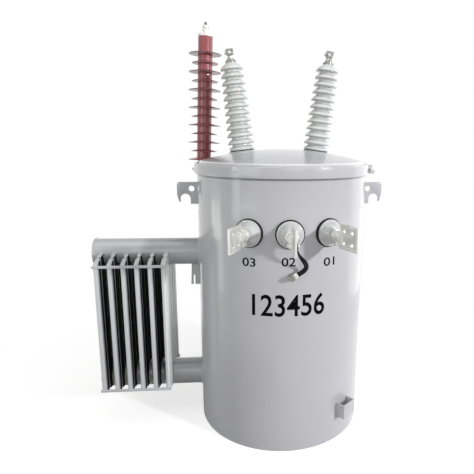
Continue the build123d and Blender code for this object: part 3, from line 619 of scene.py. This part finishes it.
def makeCover(size):
    kneeTurn = asin(size["knee"] / domeRadius)
    outer = [(domeRadius * sin(kneeTurn * step / size["domeSteps"]), domeCentre + domeRadius * cos(kneeTurn * step / size["domeSteps"]))
             for step in range(size["domeSteps"] + 1)]
    edgeTop = tank["height"] + size["edge"]
    skirt = roundedLine([
        outer[-2], (size["knee"] + 0.0005, size["kneeTop"], 0.0045), (size["shoulder"], size["shoulderTop"], 0.004),
        (size["shoulder"], edgeTop, 0.0006), (tank["rimRadius"], edgeTop, 0.003),
        (tank["rimRadius"], tank["height"], 0.002), (size["shoulder"] - size["sheet"], tank["height"]),
    ], 0.002, 5)
    inner = [(radius * (domeRadius - size["sheet"]) / domeRadius, height - size["sheet"]) for radius, height in reversed(outer)]
    return turnedMesh(outer[:-2] + skirt + inner, 256, closed=False)


finishPiece("coverShell", makeCover(cover), "paint", ("cover",))

# clamping band, brackets, plates and fins: the CAD shapes with eased edges
easedPieces = {
    "bandFront": ("cover_band_front", 0.0012), "bandRear": ("cover_band_rear", 0.0012),
    "lugLeft": ("lifting_lug_left", 0.001), "lugRight": ("lifting_lug_right", 0.001),
    "slottedPlate": ("slotted_side_bracket", 0.0008), "channelBracket": ("lower_channel_bracket", 0.001),
    "hangerLower": ("hanger_bracket_lower", 0.0015), "hangerUpper": ("hanger_bracket_upper", 0.0015),
    "arresterShelf": ("arrester_bracket", 0.001), "arresterFoot": ("arrester_base", 0.001),
    "tieBarUpperFront": ("tie_bar_upper_front", 0.001), "tieBarUpperRear": ("tie_bar_upper_rear", 0.001),
    "tieBarLowerFront": ("tie_bar_lower_front", 0.001), "tieBarLowerRear": ("tie_bar_lower_rear", 0.001),
    "headerUpper": ("header_upper", 0.0012), "headerLower": ("header_lower", 0.0012),
    "groundBoss": ("ground_boss", 0.0006), "clampEyeLeft": ("hv_terminal_left", 0.0008),
    "clampEyeRight": ("hv_terminal_right", 0.0008), "padLeft": ("lv_pad_left", 0.0008),
    "padCentre": ("lv_pad_centre", 0.0008), "padRight": ("lv_pad_right", 0.0008),
    "finPanel1": ("fin_1", 0.0015), "finPanel2": ("fin_2", 0.0015), "finPanel3": ("fin_3", 0.0015),
    "finPanel4": ("fin_4", 0.0015), "finPanel5": ("fin_5", 0.0015), "finPanel6": ("fin_6", 0.0015),
}
slotOf = {part["node"]: part["material_slot"] for part in frame["record"]["subparts"]}
# slottedPlate takes the pale copy as painted light; lugLeft takes the darker copy as painted shade
ownFinish = {
    "finPanel": "panel", "clampEye": "aged", "groundBoss": "aged", "slottedPlate": "pale", "lugLeft": "pipe",
    "header": "pipe",
}
for name, (nodeName, width) in easedPieces.items():
    finish = next((own for start, own in ownFinish.items() if name.startswith(start)), None)
    finishPiece(name, easedNode(nodeName, width), slotOf[nodeName], (nodeName,), finish)
print("eased pieces made:", len(easedPieces))

# high voltage bushings: boss, gasket line, porcelain with drooping sheds
highBushing = {
    "half": 0.165, "setback": 0.110, "seat": 1.173, "tiltDeg": 7.0,
    "bossRadius": 0.059, "bossDepth": 0.042, "gasketRadius": 0.0525, "gasketHeight": 0.0035,
    "height": 0.372, "shedCount": 11, "first": 0.038, "pitch": 0.031, "lowTip": 0.059, "highTip": 0.0485,
}


def makeShed(tip, root, edge, under, back, droop, crown=0.0):
    # a ring with a rounded lip and a crowned back, its ends buried in the column
    lip = edge / 2
    rim = [(tip - lip + lip * cos(radians(turn)), lip * sin(radians(turn)) - droop, 0) for turn in range(-95, 61, 31)]
    foot = (root, back)
    middle = ((rim[-1][0] + foot[0]) / 2 + crown, (rim[-1][1] + foot[1]) / 2 + crown, 0.02)
    line = roundedLine(
        [(root - 0.006, -under - 0.001), (root, -under, 0.004)] + rim + [middle, (root, back, 0.004), (root - 0.006, back + 0.001)],
        0.002, 4)
    return turnedMesh(line, 72)


def markHollowShade(mesh, size, tipAt, deep, clear, most=1.0):
    # up to most in the valleys, more close under each shed, 0 at the tips: a mask for painted shade
    shares = []
    for vertex in mesh.vertices:
        radius = sqrt(vertex.co.x ** 2 + vertex.co.y ** 2) / tipAt(vertex.co.z)
        share = most * min(1.0, max(0.0, (clear - radius) / (clear - deep)))
        near = (vertex.co.z - size["first"]) / size["pitch"]
        below = (round(near) - near) * size["pitch"]
        if below > 0.0045 and radius > deep:
            share = max(share, 0.85)
        shares.append(share if size["first"] - size["pitch"] / 2 < vertex.co.z else 0.0)
    mesh.attributes.new("hollow", "FLOAT", "POINT").data.foreach_set("value", shares)


def makePorcelain(size):
    tall = size["height"]
    body = roundedLine([
        (0, size["gasketHeight"]), (0.0515, size["gasketHeight"], 0.0015), (0.0558, 0.009, 0.004), (0.052, 0.016, 0.005),
        (0.0400, 0.0215, 0.004), (0.0310, tall - 0.034, 0.001), (0.0405, tall - 0.0250, 0.001),
        (0.0245, tall - 0.0045, 0.003), (0.0205, tall, 0.0015), (0, tall),
    ], 0.002, 5)
    column = turnedMesh(body, 72, closed=False)
    shed = makeShed(size["lowTip"], 0.0395, 0.009, 0.0105, 0.014, 0.005, 0.0016)
    sheds = grow(stackTree, shed, {
        "Count": size["shedCount"], "First": size["first"], "Pitch": size["pitch"],
        "TopShare": size["highTip"] / size["lowTip"], "OddShare": 1.0, "Finish": finishes["whiteGlaze"],
    })
    mesh = joinMeshes([column, sheds])
    markHollowShade(mesh, size, lambda level: size["lowTip"] + (size["highTip"] - size["lowTip"]) * level / tall, 0.70, 0.92, 0.2)
    return mesh


def hexUnit(radius, height, chamfer):
    # hexagon nut or head standing on z 0, its corners chamfered
    made = bmesh.new()
    rows = []
    for reach, level in ((radius * 0.97, 0), (radius, chamfer), (radius, height - chamfer), (radius * 0.86, height)):
        rows.append([made.verts.new((reach * cos(pi / 3 * step), reach * sin(pi / 3 * step), level)) for step in range(6)])
    for low, high in zip(rows, rows[1:]):
        for step in range(6):
            made.faces.new((low[step], low[(step + 1) % 6], high[(step + 1) % 6], high[step]))
    made.faces.new(list(reversed(rows[0])))
    made.faces.new(rows[-1])
    mesh = bpy.data.meshes.new("hex")
    made.to_mesh(mesh)
    made.free()
    return mesh


for word, side in (("Left", -1), ("Right", 1)):
    node = word.lower()
    lean = Vector((side * sin(radians(highBushing["tiltDeg"])), 0, cos(radians(highBushing["tiltDeg"]))))
    foot = Vector((side * highBushing["half"], highBushing["setback"], highBushing["seat"]))
    stand = standOn(foot, lean)
    boss = turnedMesh(roundedLine([
        (0.040, -highBushing["bossDepth"]), (highBushing["bossRadius"], -highBushing["bossDepth"], 0.001),
        (highBushing["bossRadius"], -0.0002, 0.0035), (0.040, -0.0002),
    ], 0.001, 5), 96)
    boss.transform(stand)
    finishPiece("boss" + word, boss, "paint", ("hv_boss_" + node,))
    ring = turnedMesh(roundedLine([
        (0.030, -0.0002), (highBushing["gasketRadius"], -0.0002, 0.001),
        (highBushing["gasketRadius"], highBushing["gasketHeight"] + 0.0002, 0.001), (0.030, highBushing["gasketHeight"] + 0.0002),
    ], 0.001, 3), 72)
    ring.transform(stand)
    finishPiece("bushingGasket" + word, ring, "black_rubber")
    porcelain = makePorcelain(highBushing)
    porcelain.transform(stand)
    finishPiece("porcelain" + word, porcelain, "porcelain", ("hv_bushing_" + node,), "whiteGlaze", smoothDeg=50)
    ferrule = turnedMesh(roundedLine([
        (0.010, 0.366), (0.0232, 0.366, 0.001), (0.0232, 0.378, 0.002), (0.010, 0.379),
    ], 0.001, 4), 48)
    nut = hexUnit(0.0135, 0.0130, 0.0014)
    nut.transform(Matrix.Translation((0, 0, 0.3865)))
    ferrule = joinMeshes([ferrule, nut])
    ferrule.transform(stand)
    finishPiece("ferrule" + word, ferrule, "tinned", finish="aged")
print("high voltage bushings made")

# arrester: red column with large and small sheds in turn
arrester = {
    "azimuthDeg": -128.45, "distance": 0.4422, "seat": 1.124, "leanDeg": 2.17, "core": 0.033, "length": 0.552,
    "shedCount": 13, "first": 0.0075, "pitch": 0.0396, "largeTip": 0.074, "smallTip": 0.0605,
    "capRadius": 0.034, "capHeight": 0.012, "nutRadius": 0.0138, "nutHeight": 0.0105, "studRadius": 0.0068, "studHeight": 0.051,
}
arresterUp = Vector((sin(radians(arrester["leanDeg"])), 0, cos(radians(arrester["leanDeg"]))))
arresterFoot = outward(arrester["azimuthDeg"]) * arrester["distance"] + Vector((0, 0, arrester["seat"]))
arresterStand = standOn(arresterFoot, arresterUp)


def makeArrester(size):
    column = turnedMesh(roundedLine([
        (0, 0), (size["core"], 0, 0.001), (size["core"], size["length"], 0.0015), (0, size["length"]),
    ], 0.001, 4), 72, closed=False)
    shed = makeShed(size["largeTip"], size["core"] - 0.0004, 0.0028, 0.0048, 0.0055, 0.0052)
    sheds = grow(stackTree, shed, {
        "Count": size["shedCount"], "First": size["first"], "Pitch": size["pitch"], "TopShare": 1.0,
        "OddShare": size["smallTip"] / size["largeTip"], "Finish": finishes["polymer"],
    })
    mesh = joinMeshes([column, sheds])
    markHollowShade(mesh, {**size, "pitch": 1.0}, lambda level: size["largeTip"], size["core"] / size["largeTip"], 0.95)
    return mesh


housing = makeArrester(arrester)
housing.transform(arresterStand)
finishPiece("arresterHousing", housing, "polymer", ("arrester_housing",), smoothDeg=50)


def threadedRod(radius, low, high, pitch=0.0016):
    line = [(0, low)]
    turns = int((high - low) / pitch)
    for turn in range(turns):
        line += [(radius * 0.9, low + turn * pitch), (radius, low + (turn + 0.5) * pitch)]
    line += [(radius * 0.8, high), (0, high)]
    return turnedMesh(line, 24, closed=False)


def makeArresterTop(size):
    base = size["length"]
    cap = turnedMesh(roundedLine([
        (0, base), (size["capRadius"], base, 0.001), (size["capRadius"], base + size["capHeight"], 0.003), (0, base + size["capHeight"]),
    ], 0.001, 4), 64, closed=False)
    shelf = base + size["capHeight"]
    parts = [cap]
    for turn in range(3):  # nuts with a washer under each, turned a little from one another
        level = shelf + turn * (size["nutHeight"] + 0.002)
        wide = size["nutRadius"] + 0.0012
        parts.append(turnedMesh(roundedLine([
            (0.005, level), (wide, level, 0.0005), (wide, level + 0.002, 0.0005), (0.005, level + 0.002),
        ], 0.0005, 2), 32))
        nut = hexUnit(size["nutRadius"], size["nutHeight"], 0.0014)
        nut.transform(Matrix.Translation((0, 0, level + 0.002)) @ Matrix.Rotation(turn * 0.4, 4, "Z"))
        parts.append(nut)
    return joinMeshes(parts), threadedRod(size["studRadius"], shelf, shelf + size["studHeight"])


arresterTop, arresterStud = makeArresterTop(arrester)
arresterTop.transform(arresterStand)
arresterStud.transform(arresterStand)
finishPiece("arresterTop", arresterTop, "tinned", ("arrester_terminal",))
finishPiece("arresterStud", arresterStud, "tinned", finish="aged")
print("arrester made")

# low voltage bushings: gasket ring and porcelain cone
lowBushing = {"azimuths": (-24.5, 0.0, 24.5), "words": ("Left", "Centre", "Right"), "height": 0.886}
for word, azimuth in zip(lowBushing["words"], lowBushing["azimuths"]):
    node = word.lower()
    stand = standOn(Vector((0, 0, lowBushing["height"])), outward(azimuth))
    ring = turnedMesh(roundedLine([
        (0.030, 0.346), (0.054, 0.346, 0.0005), (0.054, 0.361, 0.0022), (0.030, 0.361),
    ], 0.001, 4), 96)
    ring.transform(stand)
    finishPiece("flangeGasket" + word, ring, "black_rubber", ("lv_gasket_" + node,))
    cone = turnedMesh(roundedLine([
        (0, 0.338), (0.0298, 0.338, 0.001), (0.0298, 0.3609, 0), (0.050, 0.3609, 0.001), (0.050, 0.366, 0.0025),
        (0.0435, 0.3685, 0.003), (0.0375, 0.381, 0.006), (0.034, 0.387, 0.004), (0.029, 0.3958, 0.004), (0, 0.3958),
    ], 0.001, 6), 96, closed=False)
    cone.transform(stand)
    finishPiece("cone" + word, cone, "porcelain", ("lv_bushing_" + node,), smoothDeg=50)

# ground strap: a flat black strap, its course as in the CAD part
strap = {
    "start": Vector((0.01875, -0.4165, 0.846)), "first": Vector((0.026, -0.4165, 0.800)),
    "last": Vector((0.098, -0.37075, 0.774)), "end": Vector((0.0235, -0.37075, 0.7367)),
    "tabTop": Vector((0.01875, -0.4165, 0.867)), "tabEnd": Vector((0.002, -0.37075, 0.7243)),
    "width": 0.0175, "thickness": 0.0036, "steps": 48, "twist": 1.6,
}


def strapSection(width, thickness, steps=5):
    # rounded flat section, X along the width
    half, tall = width / 2, thickness / 2
    corners = roundedLine([(0, -tall), (half, -tall), (half, tall), (-half, tall), (-half, -tall), (0, -tall)], tall * 0.8, steps)
    return corners[:-1]


def sweptStrap(points, courses, shares, width, thickness):
    made = bmesh.new()
    rings = []
    section = strapSection(width, thickness)
    for point, course, share in zip(points, courses, shares):
        # edge to the front at share 0, flat to the front at share 1
        across = Vector((0, 1 - share, 0)) + Vector((course.z, 0, -course.x)).normalized() * share
        across = (across - course * across.dot(course)).normalized()
        upward = course.cross(across)
        rings.append([made.verts.new(point + across * x + upward * y) for x, y in section])
    for low, high in zip(rings, rings[1:]):
        for step in range(len(section)):
            other = (step + 1) % len(section)
            made.faces.new((low[step], low[other], high[other], high[step]))
    made.faces.new(list(reversed(rings[0])))
    made.faces.new(rings[-1])
    bmesh.ops.recalc_face_normals(made, faces=made.faces)
    mesh = bpy.data.meshes.new("strap")
    made.to_mesh(mesh)
    made.free()
    return mesh


def makeStrap(size):
    down = Vector((0, 0, -1))
    points, courses, shares = [size["tabTop"]], [down], [0.0]
    for step in range(size["steps"] + 1):
        share = step / size["steps"]
        rest = 1 - share
        points.append(size["start"] * rest ** 3 + size["first"] * (3 * share * rest ** 2)
                      + size["last"] * (3 * share ** 2 * rest) + size["end"] * share ** 3)
        course = ((size["first"] - size["start"]) * rest ** 2 + (size["last"] - size["first"]) * (2 * share * rest)
                  + (size["end"] - size["last"]) * share ** 2)
        courses.append(course.normalized())
        shares.append(min(1.0, share * size["twist"]))
    points.append(size["tabEnd"])
    courses.append((size["tabEnd"] - size["end"]).normalized())
    shares.append(1.0)
    return sweptStrap(points, courses, shares, size["width"], size["thickness"])


finishPiece("groundStrap", makeStrap(strap), "black_rubber", ("ground_strap",), smoothDeg=50)

# crimped lug on the strap's lower end
lugCourse = (strap["tabEnd"] - strap["end"]).normalized()
barrel = sweptStrap([strap["end"] + lugCourse * reach for reach in (-0.0055, -0.005, 0.0045, 0.005)], [lugCourse] * 4, [1.0] * 4, 0.0205, 0.0068)
tongue = sweptStrap([strap["end"] + lugCourse * reach for reach in (0.003, 0.0295)], [lugCourse] * 2, [1.0] * 2, 0.0185, 0.0052)
finishPiece("crimpedLug", joinMeshes([barrel, tongue]), "tinned")

# nut that holds the lug on the ground boss
bossNut = joinMeshes([
    turnedMesh(roundedLine([(0.004, 0), (0.0128, 0, 0.0005), (0.0128, 0.0016, 0.0005), (0.004, 0.0016)], 0.0005, 2), 32),
    hexUnit(0.0112, 0.0078, 0.0014), threadedRod(0.0048, 0.003, 0.0125),
])
bossNut.transform(standOn(Vector((0.007, -0.3741, 0.727)), (0, -1, 0)))
finishPiece("bossNut", bossNut, "tinned", finish="aged")

# bolts: band closures, strap nut, high voltage clamp screws
bolts = {"seamDeg": 77.0, "earRadius": 0.379, "earHeight": 1.104, "earFace": 0.010, "boltRadius": 0.0085, "boltHeight": 0.0065}


def scatter(spots, unit):
    mesh = bpy.data.meshes.new("spots")
    mesh.from_pydata([spot[0] for spot in spots], [], [])
    mesh.attributes.new("aim", "FLOAT_VECTOR", "POINT")
    mesh.attributes.new("size", "FLOAT", "POINT")
    for index, (place, aim, size) in enumerate(spots):
        mesh.attributes["aim"].data[index].vector = aim
        mesh.attributes["size"].data[index].value = size
    holder = bpy.data.objects.new("unit", unit)
    bpy.context.scene.collection.objects.link(holder)
    made = grow(scatterTree, mesh, {"Unit": holder, "Finish": finishes["tinned"]})
    bpy.data.objects.remove(holder)
    return made


def makeBolts(size):
    spots = []
    seam, across = outward(size["seamDeg"]), outward(size["seamDeg"] + 90)
    for end in (-1, 1):
        spot = seam * (end * size["earRadius"]) + Vector((0, 0, size["earHeight"]))
        for face in (-1, 1):
            spots.append((spot + across * (face * size["earFace"]), across * face, 1.0))
    spots.append((Vector((0.0206, -0.4165, 0.858)), Vector((1, 0, 0)), 0.85))
    for side in (-1, 1):  # set screws of the high voltage clamps
        lean = Vector((side * sin(radians(highBushing["tiltDeg"])), 0, cos(radians(highBushing["tiltDeg"]))))
        slant = Vector((lean.z, 0, -lean.x))
        foot = Vector((side * highBushing["half"], highBushing["setback"], highBushing["seat"]))
        spots.append((foot + lean * 0.413 - slant * 0.0163, -slant, 0.85))
    washer = turnedMesh(roundedLine([
        (0.003, 0), (size["boltRadius"] * 1.2, 0, 0.0004), (size["boltRadius"] * 1.2, 0.0013, 0.0004), (0.003, 0.0013),
    ], 0.0004, 2), 24)
    head = hexUnit(size["boltRadius"], size["boltHeight"], 0.0011)
    head.transform(Matrix.Translation((0, 0, 0.0013)))
    return scatter(spots, joinMeshes([washer, head]))


finishPiece("clampBolts", makeBolts(bolts), "tinned")
shanks = []
for end in (-1, 1):
    spot = outward(bolts["seamDeg"]) * (end * bolts["earRadius"]) + Vector((0, 0, bolts["earHeight"]))
    rod = threadedRod(0.0048, -0.024, 0.020)
    rod.transform(standOn(spot, outward(bolts["seamDeg"] + 90)))
    shanks.append(rod)
finishPiece("clampRods", joinMeshes(shanks), "tinned")
print("bolts made")

# weld beads
welds = {"step": 0.0013, "ripple": 0.0052, "depth": 0.12, "wander": 0.5}


def beadCurve(paths):
    # paths holds (points, radius, closed)
    curve = bpy.data.curves.new("beads", "CURVE")
    curve.dimensions = "3D"
    for points, radius, closed in paths:
        spline = curve.splines.new("POLY")
        spline.points.add(len(points) - 1)
        for target, point in zip(spline.points, points):
            target.co = (*point, 1)
            target.radius = radius
        spline.use_cyclic_u = closed
    return curve


def weldPaths():
    paths = []
    tankR = tank["radius"]
    for level in (0.745, 0.180):
        ring = []
        for step in range(72):
            turn = 2 * pi * step / 72
            y, z = 0.0575 * cos(turn), level + 0.0575 * sin(turn)
            ring.append((-sqrt(tankR ** 2 - y ** 2) - 0.0008, y, z))
        paths.append((ring, 0.0036, True))
        cap = [(-0.7868, 0.0572 * cos(2 * pi * step / 72), level + 0.0572 * sin(2 * pi * step / 72)) for step in range(72)]
        paths.append((cap, 0.002, True))
    for index in range(6):
        finX = -(0.490 + 0.053 * index)
        for level, start, end in ((0.745, 175, 365), (0.180, -8, 188)):
            for face in (-1, 1):
                arc = []
                for step in range(37):
                    turn = radians(start + (end - start) * step / 36)
                    arc.append((finX + face * 0.0088, 0.0573 * cos(turn), level + 0.0573 * sin(turn)))
                paths.append((arc, 0.0019, False))
        for level in (0.7185, 0.1775):
            for side in (-1, 1):
                for face in (-1, 1):
                    paths.append(([(finX + face * 0.0078, side * 0.1503, level - 0.0055), (finX + face * 0.0078, side * 0.1503, level + 0.0055)], 0.0019, False))
    for side in (-1, 1):
        for face in (-1, 1):
            x = side * (sqrt(tankR ** 2 - 0.0045 ** 2) + 0.0006)
            paths.append(([(x, face * 0.0048, 0.951), (x, face * 0.0048, 0.9975), (x, face * 0.0048, 1.0435)], 0.0028, False))
    for face in (0.0605, 0.0695):
        x = -(sqrt(tankR ** 2 - face ** 2) + 0.0004)
        paths.append(([(x, face, 0.576), (x, face, 0.681)], 0.0022, False))
    for bottom, top in ((0.206, 0.296), (0.7966, 0.8866)):
        for side in (-1, 1):
            for offset in (0.0625, 0.0535):
                y = sqrt(tankR ** 2 - offset ** 2) + 0.0006
                paths.append(([(side * offset, y, bottom), (side * offset, y, top)], 0.0028, False))
    facing, sideways = outward(41.8), Vector((cos(radians(41.8)), sin(radians(41.8)), 0))
    for offset in (-0.0375, -0.0315, 0.0315, 0.0375):
        foot = facing * (sqrt(tankR ** 2 - offset ** 2) + 0.0004) + sideways * offset
        paths.append(([(foot.x, foot.y, 0.106), (foot.x, foot.y, 0.164)], 0.0022, False))
    for level in (1.0745, 1.0675):
        arc = []
        for step in range(13):
            turn = degrees(asin(0.033 / tankR)) * (step / 6 - 1)
            point = outward(-128.45 + turn) * (tankR + 0.0006)
            arc.append((point.x, point.y, level))
        paths.append((arc, 0.0024, False))
    for side in (-1, 1):
        lean = Vector((side * sin(radians(7)), 0, cos(radians(7))))
        across = Vector((cos(radians(7)), 0, -side * sin(radians(7))))
        foot = Vector((side * 0.165, 0.110, 1.173))
        centre = Vector((0, 0, domeCentre))
        ring = []
        for step in range(72):
            turn = 2 * pi * step / 72
            base = foot + across * (0.0592 * cos(turn)) + Vector((0, 1, 0)) * (0.0592 * sin(turn)) - centre
            half = base.dot(lean)
            climb = -half + sqrt(half ** 2 - base.dot(base) + (domeRadius + 0.0002) ** 2)
            ring.append(tuple(base + lean * climb + centre))
        paths.append((ring, 0.0022, True))
    # the shell's upright seam, at the back
    back = outward(152) * (tankR + 0.0001)
    paths.append(([(back.x, back.y, 0.004), (back.x, back.y, 0.5), (back.x, back.y, 1.082)], 0.0022, False))
    return paths


beads = grow(beadTree, beadCurve(weldPaths()), {
    "Step": welds["step"], "Ripple": welds["ripple"], "Depth": welds["depth"], "Wander": welds["wander"], "Finish": finishes["paint"],
})
finishPiece("weldBeads", beads, "paint", smoothDeg=60)
print("weld beads made:", len(beads.polygons), "faces")

# plain stencilled digits, wrapped round the wall
digits = {
    "lift": 0.0004, "cut": 0.004,
    "rows": (  # text, azimuth, height, level, width
        ("123456", 0.1, 0.086, 0.6145, 0.282), ("03", -24.6, 0.033, 0.777, 0.052),
        ("02", -0.6, 0.033, 0.783, 0.052), ("01", 25.6, 0.033, 0.775, 0.050),
    ),
}


def digitMesh(text, azimuthDeg, tall, level, wide):
    curve = bpy.data.curves.new("digits", "FONT")
    curve.body = text
    curve.size = 1.0
    curve.align_x = "CENTER"
    curve.resolution_u = 6
    curve.offset = 0.012
    holder = bpy.data.objects.new("digits", curve)
    bpy.context.scene.collection.objects.link(holder)
    mesh = bakedMesh(holder)
    xs = [v.co.x for v in mesh.vertices]
    ys = [v.co.y for v in mesh.vertices]
    scaleY = tall / (max(ys) - min(ys))
    scaleX = wide / (max(xs) - min(xs)) if wide else scaleY
    midX, midY = (max(xs) + min(xs)) / 2, (max(ys) + min(ys)) / 2
    made = bmesh.new()
    made.from_mesh(mesh)
    for vertex in made.verts:
        vertex.co = Vector(((vertex.co.x - midX) * scaleX, (vertex.co.y - midY) * scaleY, 0))
    span = max(v.co.x for v in made.verts)
    cuts = int(2 * span / digits["cut"])
    for cut in range(1, cuts):
        bmesh.ops.bisect_plane(made, geom=made.verts[:] + made.edges[:] + made.faces[:],
                               plane_co=(-span + cut * digits["cut"], 0, 0), plane_no=(1, 0, 0))
    bmesh.ops.triangulate(made, faces=made.faces)
    faces = bmesh.ops.extrude_face_region(made, geom=made.faces[:])["geom"]
    moved = [item for item in faces if isinstance(item, bmesh.types.BMVert)]
    for vertex in moved:
        vertex.co.z = digits["lift"]
    radius = tank["radius"]
    for vertex in made.verts:
        turn = azimuthDeg + degrees(vertex.co.x / radius)
        reach = radius - 0.0002 + vertex.co.z
        spot = outward(turn) * reach
        vertex.co = Vector((spot.x, spot.y, level + vertex.co.y))
    bmesh.ops.recalc_face_normals(made, faces=made.faces)
    made.to_mesh(mesh)
    made.free()
    return mesh


finishPiece("plainDigits", joinMeshes([digitMesh(*row) for row in digits["rows"]]), "black_rubber", finish="ink")
print("digits made")


# floor, world and lamps
def makeFloor():
    made = bmesh.new()
    corners = [made.verts.new((x, y, 0)) for x, y in ((-15, -15), (15, -15), (15, 15), (-15, 15))]
    made.faces.new(corners)
    mesh = bpy.data.meshes.new("floor")
    made.to_mesh(mesh)
    made.free()
    material = bpy.data.materials.new("floorWhite")
    material.use_nodes = True
    material.node_tree.nodes.clear()
    bench = Bench(material.node_tree)
    light = bench.add("ShaderNodeLightPath")
    glossy = bench.wire(light, "Is Glossy Ray")
    seen = bench.wire(light, "Is Camera Ray").maths("MAXIMUM", bench.wire(light, "Is Transmission Ray"))
    matt = bench.add("ShaderNodeBsdfDiffuse", None, {"Color": (0.7, 0.7, 0.7, 1)})
    glow = bench.add("ShaderNodeEmission", None, {"Color": (1, 1, 1, 1), "Strength": 0.6})
    both = bench.add("ShaderNodeAddShader", None, {0: matt.outputs[0], 1: glow.outputs[0]})
    # the floor runs out to plain white, so no line shows where it ends
    place = bench.add("ShaderNodeTexCoord").outputs["Object"]
    away = bench.wire(bench.add("ShaderNodeVectorMath", {"operation": "LENGTH"}, {0: place}), "Value")
    plain = bench.add("ShaderNodeEmission", None, {"Color": (1, 1, 1, 1), "Strength": 1.0})
    shown = bench.add("ShaderNodeMixShader", None, {0: bench.spread(away, 0.6, 1.7), 1: both.outputs[0], 2: plain.outputs[0]})
    dim = bench.add("ShaderNodeBsdfDiffuse", None, {"Color": (0.40, 0.40, 0.40, 1)})  # keeps the bounce under the object low
    # near the left side the gloss mirrors the dim floor, elsewhere the white one
    sideways = bench.wire(bench.add("ShaderNodeSeparateXYZ", None, {0: place}), 0)
    dimPatch = (1 - bench.spread(away, 0.85, 1.5)) * (1 - bench.spread(sideways, -0.35, 0.15))
    seen = seen.maths("MAXIMUM", glossy * (1 - dimPatch * 0.8))
    mixed = bench.add("ShaderNodeMixShader", None, {0: seen, 1: dim.outputs[0], 2: shown.outputs[0]})
    bench.add("ShaderNodeOutputMaterial", None, {"Surface": mixed.outputs[0]})
    mesh.materials.append(material)
    floor = bpy.data.objects.new("floor", mesh)
    bpy.context.scene.collection.objects.link(floor)


worldLook = {"fill": 0.27, "tint": (1.0, 1.01, 0.985, 1)}


def makeWorld(look):
    world = bpy.data.worlds.new("studio")
    bpy.context.scene.world = world
    world.use_nodes = True
    world.node_tree.nodes.clear()
    bench = Bench(world.node_tree)
    light = bench.add("ShaderNodeLightPath")
    seen = bench.wire(light, "Is Camera Ray").maths("MAXIMUM", bench.wire(light, "Is Glossy Ray"))
    seen = seen.maths("MAXIMUM", bench.wire(light, "Is Transmission Ray"))
    white = bench.add("ShaderNodeBackground", None, {"Color": (1, 1, 1, 1), "Strength": 1.0})
    fill = bench.add("ShaderNodeBackground", None, {"Color": look["tint"], "Strength": look["fill"]})
    mixed = bench.add("ShaderNodeMixShader", None, {0: seen, 1: fill.outputs[0], 2: white.outputs[0]})
    bench.add("ShaderNodeOutputWorld", None, {"Surface": mixed.outputs[0]})


lamps = {
    # name: (place, target, width, height, watts, colour)
    "key": ((4.0, -3.4, 2.3), (0, 0, 0.7), 0.34, 0.34, 165.0, (1.0, 0.985, 1.01)),
    "softLeft": ((-2.3, -2.3, 1.3), (0, 0, 0.7), 1.6, 1.6, 12.0, (1.0, 1.03, 0.96)),
    "softFront": ((0.6, -3.6, 1.9), (0, 0, 0.8), 1.4, 1.4, 7.0, (1.0, 1.0, 1.0)),
    "softTop": ((0.0, -0.4, 3.4), (0, -0.1, 0.7), 1.8, 1.8, 13.5, (1.0, 1.02, 0.99)),
    "rightBack": ((1.6, 0.75, 1.2), (0, 0, 1.0), 1.5, 2.4, 8.0, (0.99, 1.0, 1.0)),
    "leftWindow": ((-2.03, 0.14, 0.60), (-0.3, 0.0, 0.8), 0.63, 0.28, 1.3, (1.0, 1.03, 0.98)),
    "leftGap": ((-2.06, -0.15, 0.30), (-0.3, 0.0, 0.6), 0.30, 0.55, 0.6, (1.0, 1.03, 0.98)),
    "leftDoor": ((-1.84, -1.03, 0.77), (-0.3, 0.0, 0.95), 0.38, 0.30, 0.7, (1.0, 1.03, 0.98)),
    "leftTall": ((-1.84, -1.03, 1.62), (-0.36, 0.27, 1.4), 0.20, 1.1, 3.4, (1.0, 1.0, 1.0)),
}


def makeLamp(name, place, target, width, height, watts, colour):
    data = bpy.data.lights.new(name, "AREA")
    data.shape = "RECTANGLE"
    data.size = width
    data.size_y = height
    data.energy = watts
    data.color = colour
    lamp = bpy.data.objects.new(name, data)
    lamp.visible_camera = False  # shows in gloss, never as a white card
    lamp.location = place
    lamp.rotation_euler = (Vector(target) - Vector(place)).to_track_quat("-Z", "Y").to_euler()
    bpy.context.scene.collection.objects.link(lamp)


makeFloor()
makeWorld(worldLook)
for name, values in lamps.items():
    makeLamp(name, *values)
bpy.context.scene.view_settings.view_transform = "Standard"
